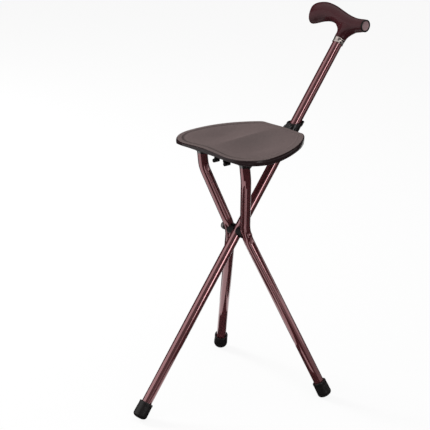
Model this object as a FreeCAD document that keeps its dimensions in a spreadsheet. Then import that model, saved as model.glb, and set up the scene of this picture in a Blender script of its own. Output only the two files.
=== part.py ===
# Walking stick seat, open for sitting: a cane whose tube leans back as the third leg,
# two bent legs that swing on the hub bolt, a moulded seat and a slider on the cane.
# Row frame: +X to the front of the seat, +Y to the left leg, +Z up. Millimetres, degrees.
import FreeCAD, Part
import math
import os
import re
import Sketcher

os.makedirs("parts", exist_ok=True)
doc = FreeCAD.newDocument("walking_stick_seat")
V = FreeCAD.Vector
X_AXIS = V(1, 0, 0)
Y_AXIS = V(0, 1, 0)
Z_AXIS = V(0, 0, 1)

# Driving sizes
sheet = doc.addObject("Spreadsheet::Sheet", "sizes")
SIZES = [
    ("shaft_lean", 37.0, "lean of the cane tube from upright"),
    ("tube_od", 19.0, "outside diameter of the cane and leg tubes"),
    ("tube_wall", 1.5, "wall of the cane and leg tubes"),
    ("shaft_foot", 384.7, "hub bolt down to the bottom of the cane tip, along the cane"),
    ("handle_base", 405.4, "hub bolt up to the underside of the handle, along the cane"),
    ("handle_socket", 26.0, "depth of the cane tube in the handle"),
    ("ferrule_length", 11.8, "length of the ring below the handle"),
    ("ferrule_wall", 1.5, "wall of the ring below the handle"),
    ("grip_back", 101.0, "cane axis to the end of the palm grip"),
    ("grip_nose", 37.0, "cane axis to the end of the nose"),
    ("grip_rise", 47.0, "underside of the handle to the middle of the palm grip"),
    ("grip_half_tall", 23.3, "half height of the palm grip"),
    ("grip_half_wide", 14.6, "half width of the palm grip"),
    ("neck_radius", 11.3, "radius of the handle neck at the ring"),
    ("disc_radius", 8.6, "radius of the disc let into the nose"),
    ("disc_thick", 1.6, "thickness of the disc let into the nose"),
    ("disc_fit", 0.05, "clearance round the nose disc"),
    ("disc_proud", 0.4, "stand of the nose disc out of its recess"),
    ("nose_drop", 6.1, "middle of the palm grip down to the middle of the nose"),
    ("collar_tall", 12.0, "height of the stop collar"),
    ("collar_wall", 3.6, "wall of the stop collar"),
    ("collar_lug", 9.5, "reach of the stop collar's clamp lugs behind the ring"),
    ("collar_lug_half", 6.4, "half width of the stop collar's clamp lugs"),
    ("collar_slot", 2.0, "slot between the clamp lugs"),
    ("collar_screw", 4.0, "diameter of the clamp screw"),
    ("rest_gap", 0.2, "gap between the slider and the stop collar at rest"),
    ("sleeve_wall", 3.5, "wall of the slider sleeve at its thickest"),
    ("sleeve_back", 58.8, "height of the slider sleeve at its back"),
    ("sleeve_lip", 1.3, "step of the slider's upper lip"),
    ("sleeve_lip_tall", 8.0, "height of the slider's upper lip"),
    ("sleeve_front_gap", 0.3, "gap between the cane and the sleeve bore in front"),
    ("sleeve_slack", 1.5, "extra room behind the cane in the sleeve bore"),
    ("knuckle_out", 15.0, "cane axis forward to the rear hinge pin"),
    ("knuckle_drop", 17.235, "seat rim down to the rear hinge pin"),
    ("knuckle_rise", 9.8, "bottom of the slider up to the rear hinge pin, along the cane"),
    ("knuckle_radius", 6.5, "radius of the slider's hinge knuckle"),
    ("knuckle_width", 26.4, "width of the slider's hinge knuckle"),
    ("cheek_thick", 4.0, "thickness of each cheek of the slider's arm"),
    ("pin_radius", 2.5, "radius of the hinge pins"),
    ("pin_head_radius", 4.4, "radius of the hinge pin heads"),
    ("pin_head_thick", 1.8, "thickness of the hinge pin heads"),
    ("run_fit", 0.08, "running clearance of pins and bolts, on the radius"),
    ("side_gap", 0.4, "side clearance beside each moving ear"),
    ("leg_foot_out", 151.9, "middle plane out to the bottom of a leg tip"),
    ("leg_foot_back", 100.4, "hub bolt back to the bottom of a leg tip"),
    ("leg_hub_out", 19.3, "middle plane out to the corner of the leg bend at the hub"),
    ("leg_knee_out", 57.3, "middle plane out to the upper leg bend"),
    ("leg_knee_fwd", 36.9, "hub bolt forward to the upper leg bend"),
    ("leg_top_rise", 33.39, "upper leg bend up to the leg's top pin"),
    ("leg_pin_fwd", 41.96, "hub bolt forward to the leg's top pin"),
    ("leg_pin_drop", 28.31, "seat rim down to the leg's top pin"),
    ("hub_bend", 60.0, "bend radius of a leg at the hub"),
    ("knee_bend", 60.0, "bend radius of a leg at its upper bend"),
    ("leg_top_radius", 9.6, "rounding of the leg top about its pin"),
    ("bolt_radius", 3.0, "radius of the hub bolt"),
    ("bush_wall", 1.5, "wall of the bush through a leg at the hub"),
    ("saddle_radius", 10.5, "radius of the saddle washers at the hub"),
    ("saddle_gap", 0.2, "gap between the two saddle washers of a side"),
    ("hub_washer_thick", 1.4, "outer saddle washers beyond the legs"),
    ("hub_head_tall", 4.0, "height of the hub bolt's button head"),
    ("hub_head_radius", 6.0, "radius of the hub bolt's button head"),
    ("cap_radius", 7.4, "radius of the cap nut"),
    ("cap_tall", 8.5, "height of the cap nut"),
    ("tip_tall", 30.0, "height of a rubber tip"),
    ("tip_foot_radius", 13.4, "radius of a rubber tip at the floor"),
    ("tip_waist_radius", 12.3, "radius of a rubber tip above its tread"),
    ("tip_rim_radius", 12.9, "radius of a rubber tip's upper rim"),
    ("tip_floor", 7.0, "thickness of rubber under the tube"),
    ("tip_washer", 1.6, "thickness of the steel disc in a tip"),
    ("tread_deep", 1.6, "depth of the tread grooves"),
    ("tip_round", 1.6, "rounding of a rubber tip at the floor"),
    ("rim_up", 179.6, "hub bolt up to the level of the seat rim"),
    ("seat_front", 90.0, "hub bolt forward to the front edge of the seat"),
    ("rear_over", 4.43, "rear hinge pin back to the rear edge of the seat"),
    ("seat_half", 113.0, "half width of the seat"),
    ("seat_corner", 63.0, "radius of the front corners of the seat"),
    ("seat_side", 185.0, "radius of the sides of the seat"),
    ("seat_rear_corner", 14.0, "radius of the rear corners of the seat"),
    ("seat_wall", 3.4, "wall of the seat moulding"),
    ("seat_skirt", 13.0, "depth of the seat's skirt at its rear and the middle of its front"),
    ("skirt_wing", 5.5, "extra depth of the skirt at the sides and front corners"),
    ("rim_pitch", 4.5, "fall of the seat from its rear to its front"),
    ("rim_wing", 4.2, "fall of the seat's front corners and sides"),
    ("wing_out", 80.0, "middle plane out to where that fall is full"),
    ("front_roll", 1.3, "roll of the seat's front edge"),
    ("roll_long", 40.0, "length of that roll"),
    ("seat_round", 5.0, "rounding of the seat's upper edge"),
    ("hollow_deep", 8.0, "depth of the thigh hollows"),
    ("hollow_out", 50.0, "middle plane out to the middle of a thigh hollow"),
    ("hollow_long", 55.0, "half length of a thigh hollow"),
    ("hollow_wide", 34.0, "half width of a thigh hollow, towards the side"),
    ("crown_tall", 2.2, "height of the crown at the rear of the seat"),
    ("crown_wide", 26.0, "half width of that crown"),
    ("window_level", 4.6, "seat rim down to the top of the rear window in the skirt"),
    ("rib_out", 27.0, "middle plane out to a seat rib"),
    ("rib_thick", 3.0, "thickness of a seat rib"),
    ("rib_deep", 13.0, "seat rim down to the bottom of a rib"),
    ("ear_thick", 4.2, "thickness of the rear hinge ears"),
    ("ear_radius", 7.0, "radius of the rear hinge ears"),
    ("lug_ear", 3.6, "thickness of each ear of a leg lug"),
    ("lug_base", 2.8, "thickness of a leg lug's base"),
    ("lug_radius", 6.5, "radius of a leg lug round its pin"),
    ("lug_drop", 14.2, "top of a leg lug down to the leg pin"),
    ("lug_front", 4.0, "leg pin forward to the front of a lug's base"),
    ("lug_rear", 16.0, "leg pin back to the rear of a lug's base"),
    ("lug_flange", 7.6, "width of a lug's flange outside its ears"),
    ("screw_radius", 1.8, "radius of the seat screws"),
    ("screw_head", 3.6, "radius of the seat screws' heads"),
    ("screw_length", 5.4, "length of the seat screws"),
    ("clip_fwd", 45.0, "hub bolt forward to the middle of the cane clip"),
    ("clip_length", 12.0, "length of the cane clip along the cane"),
    ("clip_wall", 2.8, "wall of the cane clip"),
    ("clip_gap", 0.7, "room between the clip and the folded cane"),
    ("clip_drop", 29.2, "seat rim down to the axis of the folded cane at the clip"),
    ("clip_reach", 38.5, "seat rim down to the beads of the cane clip"),
    ("clip_spread", 14.5, "middle plane out to the beads of the cane clip"),
    ("clip_bead", 3.6, "radius of the beads of the cane clip"),
    ("clip_pillar", 8.0, "width of the pillar that carries the cane clip"),
    ("clear_long", 80.0, "length of a drill or block that passes right through a piece"),
]
ALIASES = [alias for alias, value, note in SIZES]
for row, (alias, value, note) in enumerate(SIZES, start=1):
    sheet.set("A%d" % row, note)
    sheet.set("B%d" % row, str(value))
    sheet.setAlias("B%d" % row, alias)
doc.recompute()


def size(alias):
    return float(getattr(sheet, alias))


def bound(text):
    """An expression in the names of the sheet's cells, written out for the document."""
    def named(found):
        word = found.group(0)
        return "sizes." + word if word in ALIASES else word
    return re.sub(r"[a-z][a-z_]*", named, str(text))


def value_of(text):
    return float(sheet.evalExpression(bound(text)))


# Bodies and sketches
def new_body(label):
    body = doc.addObject("PartDesign::Body", label)
    body.Label = label
    return body


def new_sketch(body, role, name):
    sketch = body.newObject("Sketcher::SketchObject", name)
    plane = [item for item in body.Origin.OriginFeatures if item.Role == role][0]
    sketch.AttachmentSupport = [(plane, "")]
    sketch.MapMode = "FlatFace"
    return sketch


def set_to(sketch, constraint, text):
    index = sketch.addConstraint(constraint)
    sketch.setExpression("Constraints[%d]" % index, bound(text))


def draw_polygon(sketch, corners):
    """A closed outline of straight edges, each corner placed by two expressions."""
    points = [V(value_of(across), value_of(up), 0) for across, up in corners]
    count = len(points)
    first = sketch.GeometryCount
    for index in range(count):
        sketch.addGeometry(Part.LineSegment(points[index], points[(index + 1) % count]))
    for index in range(count):
        following = first + (index + 1) % count
        sketch.addConstraint(Sketcher.Constraint("Coincident", first + index, 2, following, 1))
    for index, (across, up) in enumerate(corners):
        line = first + index
        set_to(sketch, Sketcher.Constraint("DistanceX", -1, 1, line, 1, points[index].x), across)
        set_to(sketch, Sketcher.Constraint("DistanceY", -1, 1, line, 1, points[index].y), up)


def draw_circle(sketch, across, up, radius):
    centre = V(value_of(across), value_of(up), 0)
    index = sketch.addGeometry(Part.Circle(centre, Z_AXIS, value_of(radius)))
    set_to(sketch, Sketcher.Constraint("DistanceX", -1, 1, index, 3, centre.x), across)
    set_to(sketch, Sketcher.Constraint("DistanceY", -1, 1, index, 3, centre.y), up)
    set_to(sketch, Sketcher.Constraint("Radius", index, value_of(radius)), radius)


def revolve(body, name, corners):
    """A solid of revolution about the body's Z axis from corners (radius, height)."""
    sketch = new_sketch(body, "XZ_Plane", name + "_profile")
    draw_polygon(sketch, corners)
    feature = body.newObject("PartDesign::Revolution", name)
    feature.Profile = sketch
    feature.ReferenceAxis = (sketch, ["V_Axis"])
    feature.Angle = 360
    return feature


def pad(body, name, role, draw, length, middle=True):
    sketch = new_sketch(body, role, name + "_outline")
    draw(sketch)
    feature = body.newObject("PartDesign::Pad", name)
    feature.Profile = sketch
    feature.setExpression("Length", bound(length))
    if middle:
        feature.SideType = "Symmetric"
    return feature


def pocket(body, name, role, draw, length="400"):
    """A pocket that cuts both ways from its sketch plane."""
    sketch = new_sketch(body, role, name + "_outline")
    draw(sketch)
    feature = body.newObject("PartDesign::Pocket", name)
    feature.Profile = sketch
    feature.SideType = "Symmetric"
    feature.setExpression("Length", bound(length))
    return feature


def circle_edges(shape, radius, height):
    """Names of the full circular edges of a turned shape at one radius and height."""
    names = []
    for index, edge in enumerate(shape.Edges, start=1):
        if not isinstance(edge.Curve, Part.Circle):
            continue
        same_radius = abs(edge.Curve.Radius - radius) < 0.001
        same_height = abs(edge.Curve.Center.z - height) < 0.001
        if same_radius and same_height:
            names.append("Edge%d" % index)
    return names


def round_rim(body, name, base, radius, height, amount):
    doc.recompute()
    feature = body.newObject("PartDesign::Fillet", name)
    names = circle_edges(base.Shape, value_of(radius), value_of(height))
    feature.Base = (base, names)
    feature.setExpression("Radius", bound(amount))
    return feature


def plain_feature(name, shape):
    feature = doc.addObject("Part::Feature", name)
    feature.Shape = shape
    return feature


def cylinder(name, radius, height, place):
    """A primitive cylinder with bound sizes, its base centre and axis from a placement."""
    feature = doc.addObject("Part::Cylinder", name)
    feature.setExpression("Radius", bound(radius))
    feature.setExpression("Height", bound(height))
    feature.Placement = place
    return feature


def boolean(kind, label, base, tool):
    feature = doc.addObject("Part::" + kind, label)
    feature.Base = base
    feature.Tool = tool
    feature.Label = label
    return feature


def along(axis, base=V(0, 0, 0)):
    """A placement that turns the local Z axis along the given direction."""
    return FreeCAD.Placement(base, FreeCAD.Rotation(Z_AXIS, axis))


# Frames of the assembly, all from the hub bolt
lean = math.radians(size("shaft_lean"))
shaft_turn = FreeCAD.Rotation(Y_AXIS, -size("shaft_lean"))


def tip_drop(tilt):
    """Bottom centre of a square-cut tip above its lowest point, for a tilt from upright."""
    flat = size("tip_foot_radius") - size("tip_round")
    return flat * math.sin(tilt) + size("tip_round") * (1 - math.cos(tilt))


hub_up = size("shaft_foot") * math.cos(lean) + tip_drop(lean)
hub = V(0, 0, hub_up)
shaft_frame = FreeCAD.Placement(hub, shaft_turn)
hub_frame = FreeCAD.Placement(hub, FreeCAD.Rotation())
seat_frame = FreeCAD.Placement(hub + V(0, 0, size("rim_up")), FreeCAD.Rotation())
knuckle_up = "((rim_up - knuckle_drop - knuckle_out * sin(shaft_lean * 1 deg))"
knuckle_up += " / cos(shaft_lean * 1 deg))"
collar_low = value_of(knuckle_up + " - knuckle_rise - rest_gap - collar_tall")
leg_pin_up = size("rim_up") - size("leg_pin_drop")
leg_knee_up = leg_pin_up - size("leg_top_rise")
parts = []


def keep(feature, place):
    """Place a finished piece and list it for export under its own label."""
    feature.Placement = place
    parts.append(feature)


def in_shaft(across, side, up):
    return shaft_frame.multVec(V(across, side, up))


knuckle = in_shaft(size("knuckle_out"), 0, value_of(knuckle_up)) - seat_frame.Base
seat_rear = size("rear_over") - knuckle.x


# Cane tube with its cross hole for the hub bolt
tube_low = "-shaft_foot + tip_floor + tip_washer"
tube_high = "handle_base + handle_socket"
body = new_body("main_tube")
revolve(body, "main_tube_wall", [
    ("tube_od / 2 - tube_wall", tube_low),
    ("tube_od / 2", tube_low),
    ("tube_od / 2", tube_high),
    ("tube_od / 2 - tube_wall", tube_high),
])
pocket(body, "main_tube_hole", "XZ_Plane",
       lambda sketch: draw_circle(sketch, "0", "0", "bolt_radius"))
keep(body, shaft_frame)


# Rubber tips with a waist, a thick rim, a bore for the tube and a grooved tread
def tip(label, place):
    body = new_body(label)
    base = revolve(body, label + "_form", [
        ("0", "tread_deep"),
        ("tip_foot_radius * 0.25", "tread_deep"),
        ("tip_foot_radius * 0.25", "0"),
        ("tip_foot_radius * 0.45", "0"),
        ("tip_foot_radius * 0.45", "tread_deep"),
        ("tip_foot_radius * 0.6", "tread_deep"),
        ("tip_foot_radius * 0.6", "0"),
        ("tip_foot_radius", "0"),
        ("tip_foot_radius", "tip_floor"),
        ("tip_waist_radius", "tip_floor * 1.5"),
        ("tip_waist_radius", "tip_tall * 0.8"),
        ("tip_rim_radius", "tip_tall * 0.87"),
        ("tip_rim_radius", "tip_tall"),
        ("tube_od / 2", "tip_tall"),
        ("tube_od / 2", "tip_floor"),
        ("0", "tip_floor"),
    ])
    base = round_rim(body, label + "_foot_round", base, "tip_foot_radius", "0", "tip_round")
    round_rim(body, label + "_rim_round", base, "tip_rim_radius", "tip_tall", "0.9")
    keep(body, place)
    disc = new_body(label + "_washer")
    revolve(disc, label + "_disc", [
        ("0", "tip_floor"),
        ("tube_od / 2 - 0.2", "tip_floor"),
        ("tube_od / 2 - 0.2", "tip_floor + tip_washer"),
        ("0", "tip_floor + tip_washer"),
    ])
    keep(disc, place)


shaft_tip_place = FreeCAD.Placement(in_shaft(0, 0, -size("shaft_foot")), shaft_turn)
tip("main_tip", shaft_tip_place)

# Ring under the handle, with a bead at each end
body = new_body("ferrule_ring")
ring_low = "handle_base - ferrule_length"
revolve(body, "ferrule_form", [
    ("tube_od / 2", ring_low),
    ("tube_od / 2 + ferrule_wall", ring_low),
    ("tube_od / 2 + ferrule_wall", ring_low + " + 1.5"),
    ("tube_od / 2 + ferrule_wall - 0.4", ring_low + " + 2"),
    ("tube_od / 2 + ferrule_wall - 0.4", "handle_base - 2"),
    ("tube_od / 2 + ferrule_wall", "handle_base - 1.5"),
    ("tube_od / 2 + ferrule_wall", "handle_base"),
    ("tube_od / 2", "handle_base"),
])
keep(body, shaft_frame)


# Handle: a tall palm grip that sweeps down over the neck into a short nose
def oval_wire(centre, half_across, half_up, axis_across, axis_up):
    """An oval as a closed smooth curve that always starts on the same side."""
    points = []
    steps = 16
    for step in range(steps):
        turn = 2 * math.pi * step / steps
        offset = axis_across * (half_across * math.cos(turn)) + axis_up * (half_up * math.sin(turn))
        points.append(centre + offset)
    curve = Part.BSplineCurve()
    curve.interpolate(points, PeriodicFlag=True)
    return Part.Wire([curve.toShape()])


def handle_shape():
    low = size("handle_base")
    palm = low + size("grip_rise")
    back = size("grip_back")
    nose = size("grip_nose")
    tall = size("grip_half_tall")
    wide = size("grip_half_wide")
    # side position, rise above the palm's middle, half height and half width as shares
    stations = [
        (-back, 0.4, 0.56, 0.55),
        (-0.975 * back, 0.0, 0.79, 0.76),
        (-0.91 * back, -0.1, 0.92, 0.90),
        (-0.79 * back, 0.8, 1.00, 0.98),
        (-0.61 * back, 5.9, 0.87, 1.00),
        (-0.43 * back, 7.4, 0.74, 0.99),
        (-0.26 * back, 4.0, 0.70, 0.95),
        (-0.08 * back, -2.1, 0.67, 0.91),
        (0.27 * nose, -7.1, 0.63, 0.87),
        (0.68 * nose, -7.8, 0.575, 0.83),
        (nose, -6.1, 0.525, 0.80),
    ]
    rings = []
    for side, rise, share_tall, share_wide in stations:
        centre = V(0, side, palm + rise)
        rings.append(oval_wire(centre, wide * share_wide, tall * share_tall, X_AXIS, Z_AXIS))
    grip = Part.makeLoft(rings, True, False)
    neck = size("neck_radius")
    # rise above the underside, shift to the nose, half length and half width as shares
    neck_stations = [
        (0.0, 0.0, 1.00, 1.00),
        (8.6, 1.2, 1.03, 1.02),
        (15.6, 3.5, 1.31, 1.06),
        (25.6, 5.5, 2.04, 1.11),
        (34.6, 6.0, 2.65, 1.11),
    ]
    rings = []
    for rise, shift, share_long, share_wide in neck_stations:
        centre = V(0, shift, low + rise)
        rings.append(oval_wire(centre, neck * share_wide, neck * share_long, X_AXIS, Y_AXIS))
    stem = Part.makeLoft(rings, True, False)
    joined = grip.fuse(stem)
    socket_depth = size("handle_socket")
    socket = Part.makeCylinder(size("tube_od") / 2, socket_depth, V(0, 0, low))
    disc_deep = size("disc_thick") - size("disc_proud")
    disc_hole = Part.makeCylinder(size("disc_radius") + size("disc_fit"), disc_deep,
                                  V(0, nose - disc_deep, palm - size("nose_drop")), Y_AXIS)
    return joined.cut(socket).cut(disc_hole)


feature = plain_feature("handle_grip", handle_shape())
keep(feature, shaft_frame)

body = new_body("handle_end_disc")
base = revolve(body, "end_disc_form", [
    ("0", "0"),
    ("disc_radius", "0"),
    ("disc_radius", "disc_thick"),
    ("0", "disc_thick"),
])
round_rim(body, "end_disc_round", base, "disc_radius", "disc_thick", "0.35")
disc_low = value_of("grip_nose - disc_thick + disc_proud")
disc_up = value_of("handle_base + grip_rise - nose_drop")
disc_place = along(Y_AXIS, V(0, disc_low, disc_up))
keep(body, shaft_frame.multiply(disc_place))

# Stop collar: a slotted clamp ring with two lugs behind the cane and a screw across them
lug_back = "-(tube_od / 2 + collar_lug)"
body = new_body("stop_collar")


def collar_outline(sketch):
    draw_circle(sketch, "0", "0", "tube_od / 2 + collar_wall")


def collar_bore(sketch):
    draw_circle(sketch, "0", "0", "tube_od / 2")


def collar_lugs(sketch):
    draw_polygon(sketch, [
        (lug_back, "-collar_lug_half"),
        ("-tube_od / 4", "-collar_lug_half"),
        ("-tube_od / 4", "collar_lug_half"),
        (lug_back, "collar_lug_half"),
    ])


def collar_slot(sketch):
    draw_polygon(sketch, [
        (lug_back + " - 2", "-collar_slot / 2"),
        ("-tube_od / 4", "-collar_slot / 2"),
        ("-tube_od / 4", "collar_slot / 2"),
        (lug_back + " - 2", "collar_slot / 2"),
    ])


screw_back = "-(tube_od / 2 + collar_lug * 0.62)"
pad(body, "collar_ring", "XY_Plane", collar_outline, "collar_tall")
pad(body, "collar_clamp", "XY_Plane", collar_lugs, "collar_tall")
pocket(body, "collar_bore", "XY_Plane", collar_bore)
pocket(body, "collar_split", "XY_Plane", collar_slot)
pocket(body, "collar_screw_hole", "XZ_Plane",
       lambda sketch: draw_circle(sketch, screw_back, "0", "collar_screw / 2"))
collar_place = FreeCAD.Placement(V(0, 0, collar_low + size("collar_tall") / 2),
                                 FreeCAD.Rotation())
keep(body, shaft_frame.multiply(collar_place))

body = new_body("stop_collar_screw")
revolve(body, "collar_screw_form", [
    ("0", "-collar_lug_half"),
    ("collar_screw / 2", "-collar_lug_half"),
    ("collar_screw / 2", "collar_lug_half"),
    ("collar_screw * 0.9", "collar_lug_half"),
    ("collar_screw * 0.9", "collar_lug_half + collar_screw * 0.3"),
    ("collar_screw * 0.6", "collar_lug_half + collar_screw * 0.6"),
    ("0", "collar_lug_half + collar_screw * 0.6"),
])
screw_place = along(Y_AXIS, V(value_of(screw_back), 0, 0))
keep(body, shaft_frame.multiply(collar_place).multiply(screw_place))

# Hub: the bolt, its cap nut and the saddle washers, and the two bent legs
def leg_points(side):
    """Corner points of a leg tube's axis, from the hub bolt: foot, hub, knee, pin."""
    foot = V(-size("leg_foot_back"), side * size("leg_foot_out"), -hub_up)
    corner = V(0, side * size("leg_hub_out"), 0)
    knee = V(size("leg_knee_fwd"), side * size("leg_knee_out"), leg_knee_up)
    pin = V(size("leg_pin_fwd"), side * size("leg_knee_out"), leg_pin_up)
    return foot, corner, knee, pin


def bend_middle(before, corner, after, radius):
    """The middle point of the tangent arc of a bend."""
    into = (corner - before).normalize()
    out = (after - corner).normalize()
    half = into.getAngle(out) / 2
    inward = (out - into).normalize()
    return corner + inward * (radius / math.cos(half) - radius)


def bent_path(points, radii):
    """Straight runs joined by tangent arcs of the given radii."""
    edges = []
    start = points[0]
    for index in range(1, len(points) - 1):
        before = points[index - 1]
        corner = points[index]
        after = points[index + 1]
        radius = radii[index - 1]
        into = (corner - before).normalize()
        out = (after - corner).normalize()
        half = into.getAngle(out) / 2
        reach = radius * math.tan(half)
        first = corner - into * reach
        last = corner + out * reach
        middle = bend_middle(before, corner, after, radius)
        edges.append(Part.LineSegment(start, first).toShape())
        edges.append(Part.Arc(first, middle, last).toShape())
        start = last
    edges.append(Part.LineSegment(start, points[-1]).toShape())
    return Part.Wire(edges)


foot, corner, knee, pin = leg_points(1)
leg_axis_out = bend_middle(foot, corner, knee, size("hub_bend")).y
half_tube = size("tube_od") / 2
inner_face = leg_axis_out - half_tube
outer_face = leg_axis_out + half_tube
saddle_meet = (half_tube + inner_face) / 2
print("leg axis at the hub", round(leg_axis_out, 3), "tube gap", round(inner_face - half_tube, 3))


def leg_path(side, name):
    """The axis of a leg tube as a wire, from above the tip washer to past the top pin."""
    foot, corner, knee, pin = leg_points(side)
    up = (corner - foot).normalize()
    start = foot + up * (size("tip_floor") + size("tip_washer")) + tip_lift(foot, corner)
    end = pin + (pin - knee).normalize() * size("leg_top_radius")
    return plain_feature(name, bent_path([start, corner, knee, end],
                                         [size("hub_bend"), size("knee_bend")]))


def tip_lift(foot, corner):
    """Shift along the tube that brings the lowest edge of a square-cut tip to the floor."""
    up = (corner - foot).normalize()
    return up * (tip_drop(math.acos(up.z)) / up.z)


def sweep(name, path, radius):
    """A round bar swept along a path from a bound circle at its start."""
    edge = path.Shape.Edges[0]
    start = edge.valueAt(edge.FirstParameter)
    axis = edge.tangentAt(edge.FirstParameter)
    circle = doc.addObject("Part::Circle", name + "_circle")
    circle.setExpression("Radius", bound(radius))
    circle.Placement = along(axis, start)
    bar = doc.addObject("Part::Sweep", name)
    bar.Sections = [circle]
    bar.Spine = (path, ["Edge%d" % (index + 1) for index in range(len(path.Shape.Edges))])
    bar.Solid = True
    bar.Frenet = False
    return bar


def across_bar(name, radius, middle, length):
    """A cylinder along Y centred on a point."""
    return cylinder(name, radius, str(length), along(Y_AXIS, middle - Y_AXIS * (length / 2)))


def leg(side, word):
    """One leg: bent tube, rounded top plug, hub bush, saddle washer, rubber tip and disc."""
    foot, corner, knee, pin = leg_points(side)
    path = leg_path(side, word + "_path")
    outer = sweep(word + "_outer", path, "tube_od / 2")
    inner = sweep(word + "_inner", path, "tube_od / 2 - tube_wall")
    doc.recompute()
    length = sum(edge.Length for edge in path.Shape.Edges)
    whole = math.pi * half_tube * half_tube * length
    print(word, "tube length", round(length, 1), "sweep", round(outer.Shape.Volume / whole, 4))
    wall = boolean("Cut", word + "_wall", outer, inner)
    # rounded end about the top pin
    along_top = (pin - knee).normalize()
    crown = doc.addObject("Part::Box", word + "_crown_block")
    crown.Length = 60
    crown.Width = 60
    crown.setExpression("Height", bound("leg_top_radius * 2"))
    crown.Placement = FreeCAD.Placement(V(0, 0, 0), FreeCAD.Rotation(Z_AXIS, along_top))
    crown.Placement.Base = pin - crown.Placement.Rotation.multVec(V(30, 30, 0))
    crown_round = across_bar(word + "_crown_round", "leg_top_radius", pin, 80)
    crown_tool = boolean("Cut", word + "_crown_tool", crown, crown_round)
    hub_middle = V(0, side * leg_axis_out, 0)
    hub_hole = across_bar(word + "_hub_hole", "bolt_radius + run_fit + bush_wall", hub_middle, 30)
    hub_drilled = boolean("Cut", word + "_hub_drilled", wall, hub_hole)
    pin_hole = across_bar(word + "_pin_hole", "pin_radius + run_fit", pin, 60)
    drilled = boolean("Cut", word + "_drilled", hub_drilled, pin_hole)
    tube = boolean("Cut", word + "_leg_tube", drilled, crown_tool)
    keep(tube, hub_frame)
    # plug in the top of the tube, rounded like it
    plug_end = pin + along_top * size("leg_top_radius")
    plug_start = pin - along_top * 18
    plug_bar = cylinder(word + "_plug_bar", "tube_od / 2 - tube_wall",
                        str((plug_end - plug_start).Length), along(along_top, plug_start))
    second_crown = doc.addObject("Part::Box", word + "_plug_block")
    second_crown.Length = 60
    second_crown.Width = 60
    second_crown.setExpression("Height", bound("leg_top_radius * 2"))
    second_crown.Placement = crown.Placement
    second_round = across_bar(word + "_plug_round", "leg_top_radius", pin, 80)
    second_tool = boolean("Cut", word + "_plug_tool", second_crown, second_round)
    plug_hole = across_bar(word + "_plug_hole", "pin_radius + run_fit", pin, 60)
    plug_drilled = boolean("Cut", word + "_plug_drilled", plug_bar, plug_hole)
    plug = boolean("Cut", word + "_top_plug", plug_drilled, second_tool)
    keep(plug, hub_frame)
    # bush through the tube at the hub
    bush_length = 2 * half_tube
    bush_outer = across_bar(word + "_bush_outer", "bolt_radius + run_fit + bush_wall",
                            hub_middle, bush_length)
    bush_bore = across_bar(word + "_bush_bore", "bolt_radius + run_fit", hub_middle, 60)
    keep(boolean("Cut", word + "_hub_bush", bush_outer, bush_bore), hub_frame)
    # saddle washer that hugs the tube and rubs on the cane's own saddle washer
    face = saddle_meet + size("saddle_gap") / 2
    deep = half_tube * 0.75 + inner_face - face
    base = V(0, face, 0) if side > 0 else V(0, -face - deep, 0)
    saddle_block = cylinder(word + "_saddle_block", "saddle_radius", str(deep),
                            along(Y_AXIS, base))
    second_outer = sweep(word + "_saddle_tube", path, "tube_od / 2")
    saddle_cut = boolean("Cut", word + "_saddle_cut", saddle_block, second_outer)
    saddle_bore = across_bar(word + "_saddle_bore", "bolt_radius + run_fit + bush_wall",
                             hub_middle, 60)
    keep(boolean("Cut", word + "_leg_saddle", saddle_cut, saddle_bore), hub_frame)
    # outer saddle washer under the bolt head or the cap nut
    cup_deep = half_tube * 0.5 + size("hub_washer_thick")
    cup = cylinder(word + "_cup_block", "cap_radius", str(cup_deep),
                   along(Y_AXIS, V(0, outer_face - half_tube * 0.5, 0)))
    third_outer = sweep(word + "_cup_tube", path, "tube_od / 2")
    cup_cut = boolean("Cut", word + "_cup_cut", cup, third_outer)
    cup_bore = across_bar(word + "_cup_bore", "bolt_radius + run_fit + bush_wall",
                          hub_middle, 60)
    keep(boolean("Cut", word + "_outer_saddle", cup_cut, cup_bore), hub_frame)
    # rubber tip square to the lower run of the tube
    up = (corner - foot).normalize()
    place = along(up, foot + tip_lift(foot, corner))
    tip(word + "_tip", hub_frame.multiply(place))


leg(1, "left")

# The right leg mirrors the left one across the middle plane; its tip is turned, so placed anew
mirrored = []
for name in ("leg_tube", "top_plug", "hub_bush", "leg_saddle", "outer_saddle"):
    image = doc.addObject("Part::Mirroring", "right_" + name)
    image.Label = "right_" + name
    image.Source = doc.getObject("left_" + name)
    image.Normal = Y_AXIS
    mirrored.append(image)
right_foot, right_corner, right_knee, right_pin = leg_points(-1)
right_up = (right_corner - right_foot).normalize()
right_place = along(right_up, right_foot + tip_lift(right_foot, right_corner))
tip("right_tip", hub_frame.multiply(right_place))


def shaft_saddle(side, word):
    """Saddle washer that hugs the cane tube, flat towards the leg."""
    face = saddle_meet - size("saddle_gap") / 2
    low = half_tube * 0.35
    deep = face - low
    base = V(0, low, 0) if side > 0 else V(0, -face, 0)
    block = cylinder(word + "_cane_saddle_block", "saddle_radius", str(deep), along(Y_AXIS, base))
    tube = cylinder(word + "_cane_saddle_tube", "tube_od / 2", "80",
                    FreeCAD.Placement(shaft_turn.multVec(V(0, 0, -40)), shaft_turn))
    hollow = boolean("Cut", word + "_cane_saddle_hollow", block, tube)
    bore = across_bar(word + "_cane_saddle_bore", "bolt_radius", V(0, 0, 0), 60)
    keep(boolean("Cut", word + "_cane_saddle", hollow, bore), hub_frame)


shaft_saddle(1, "left")
shaft_saddle(-1, "right")

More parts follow.
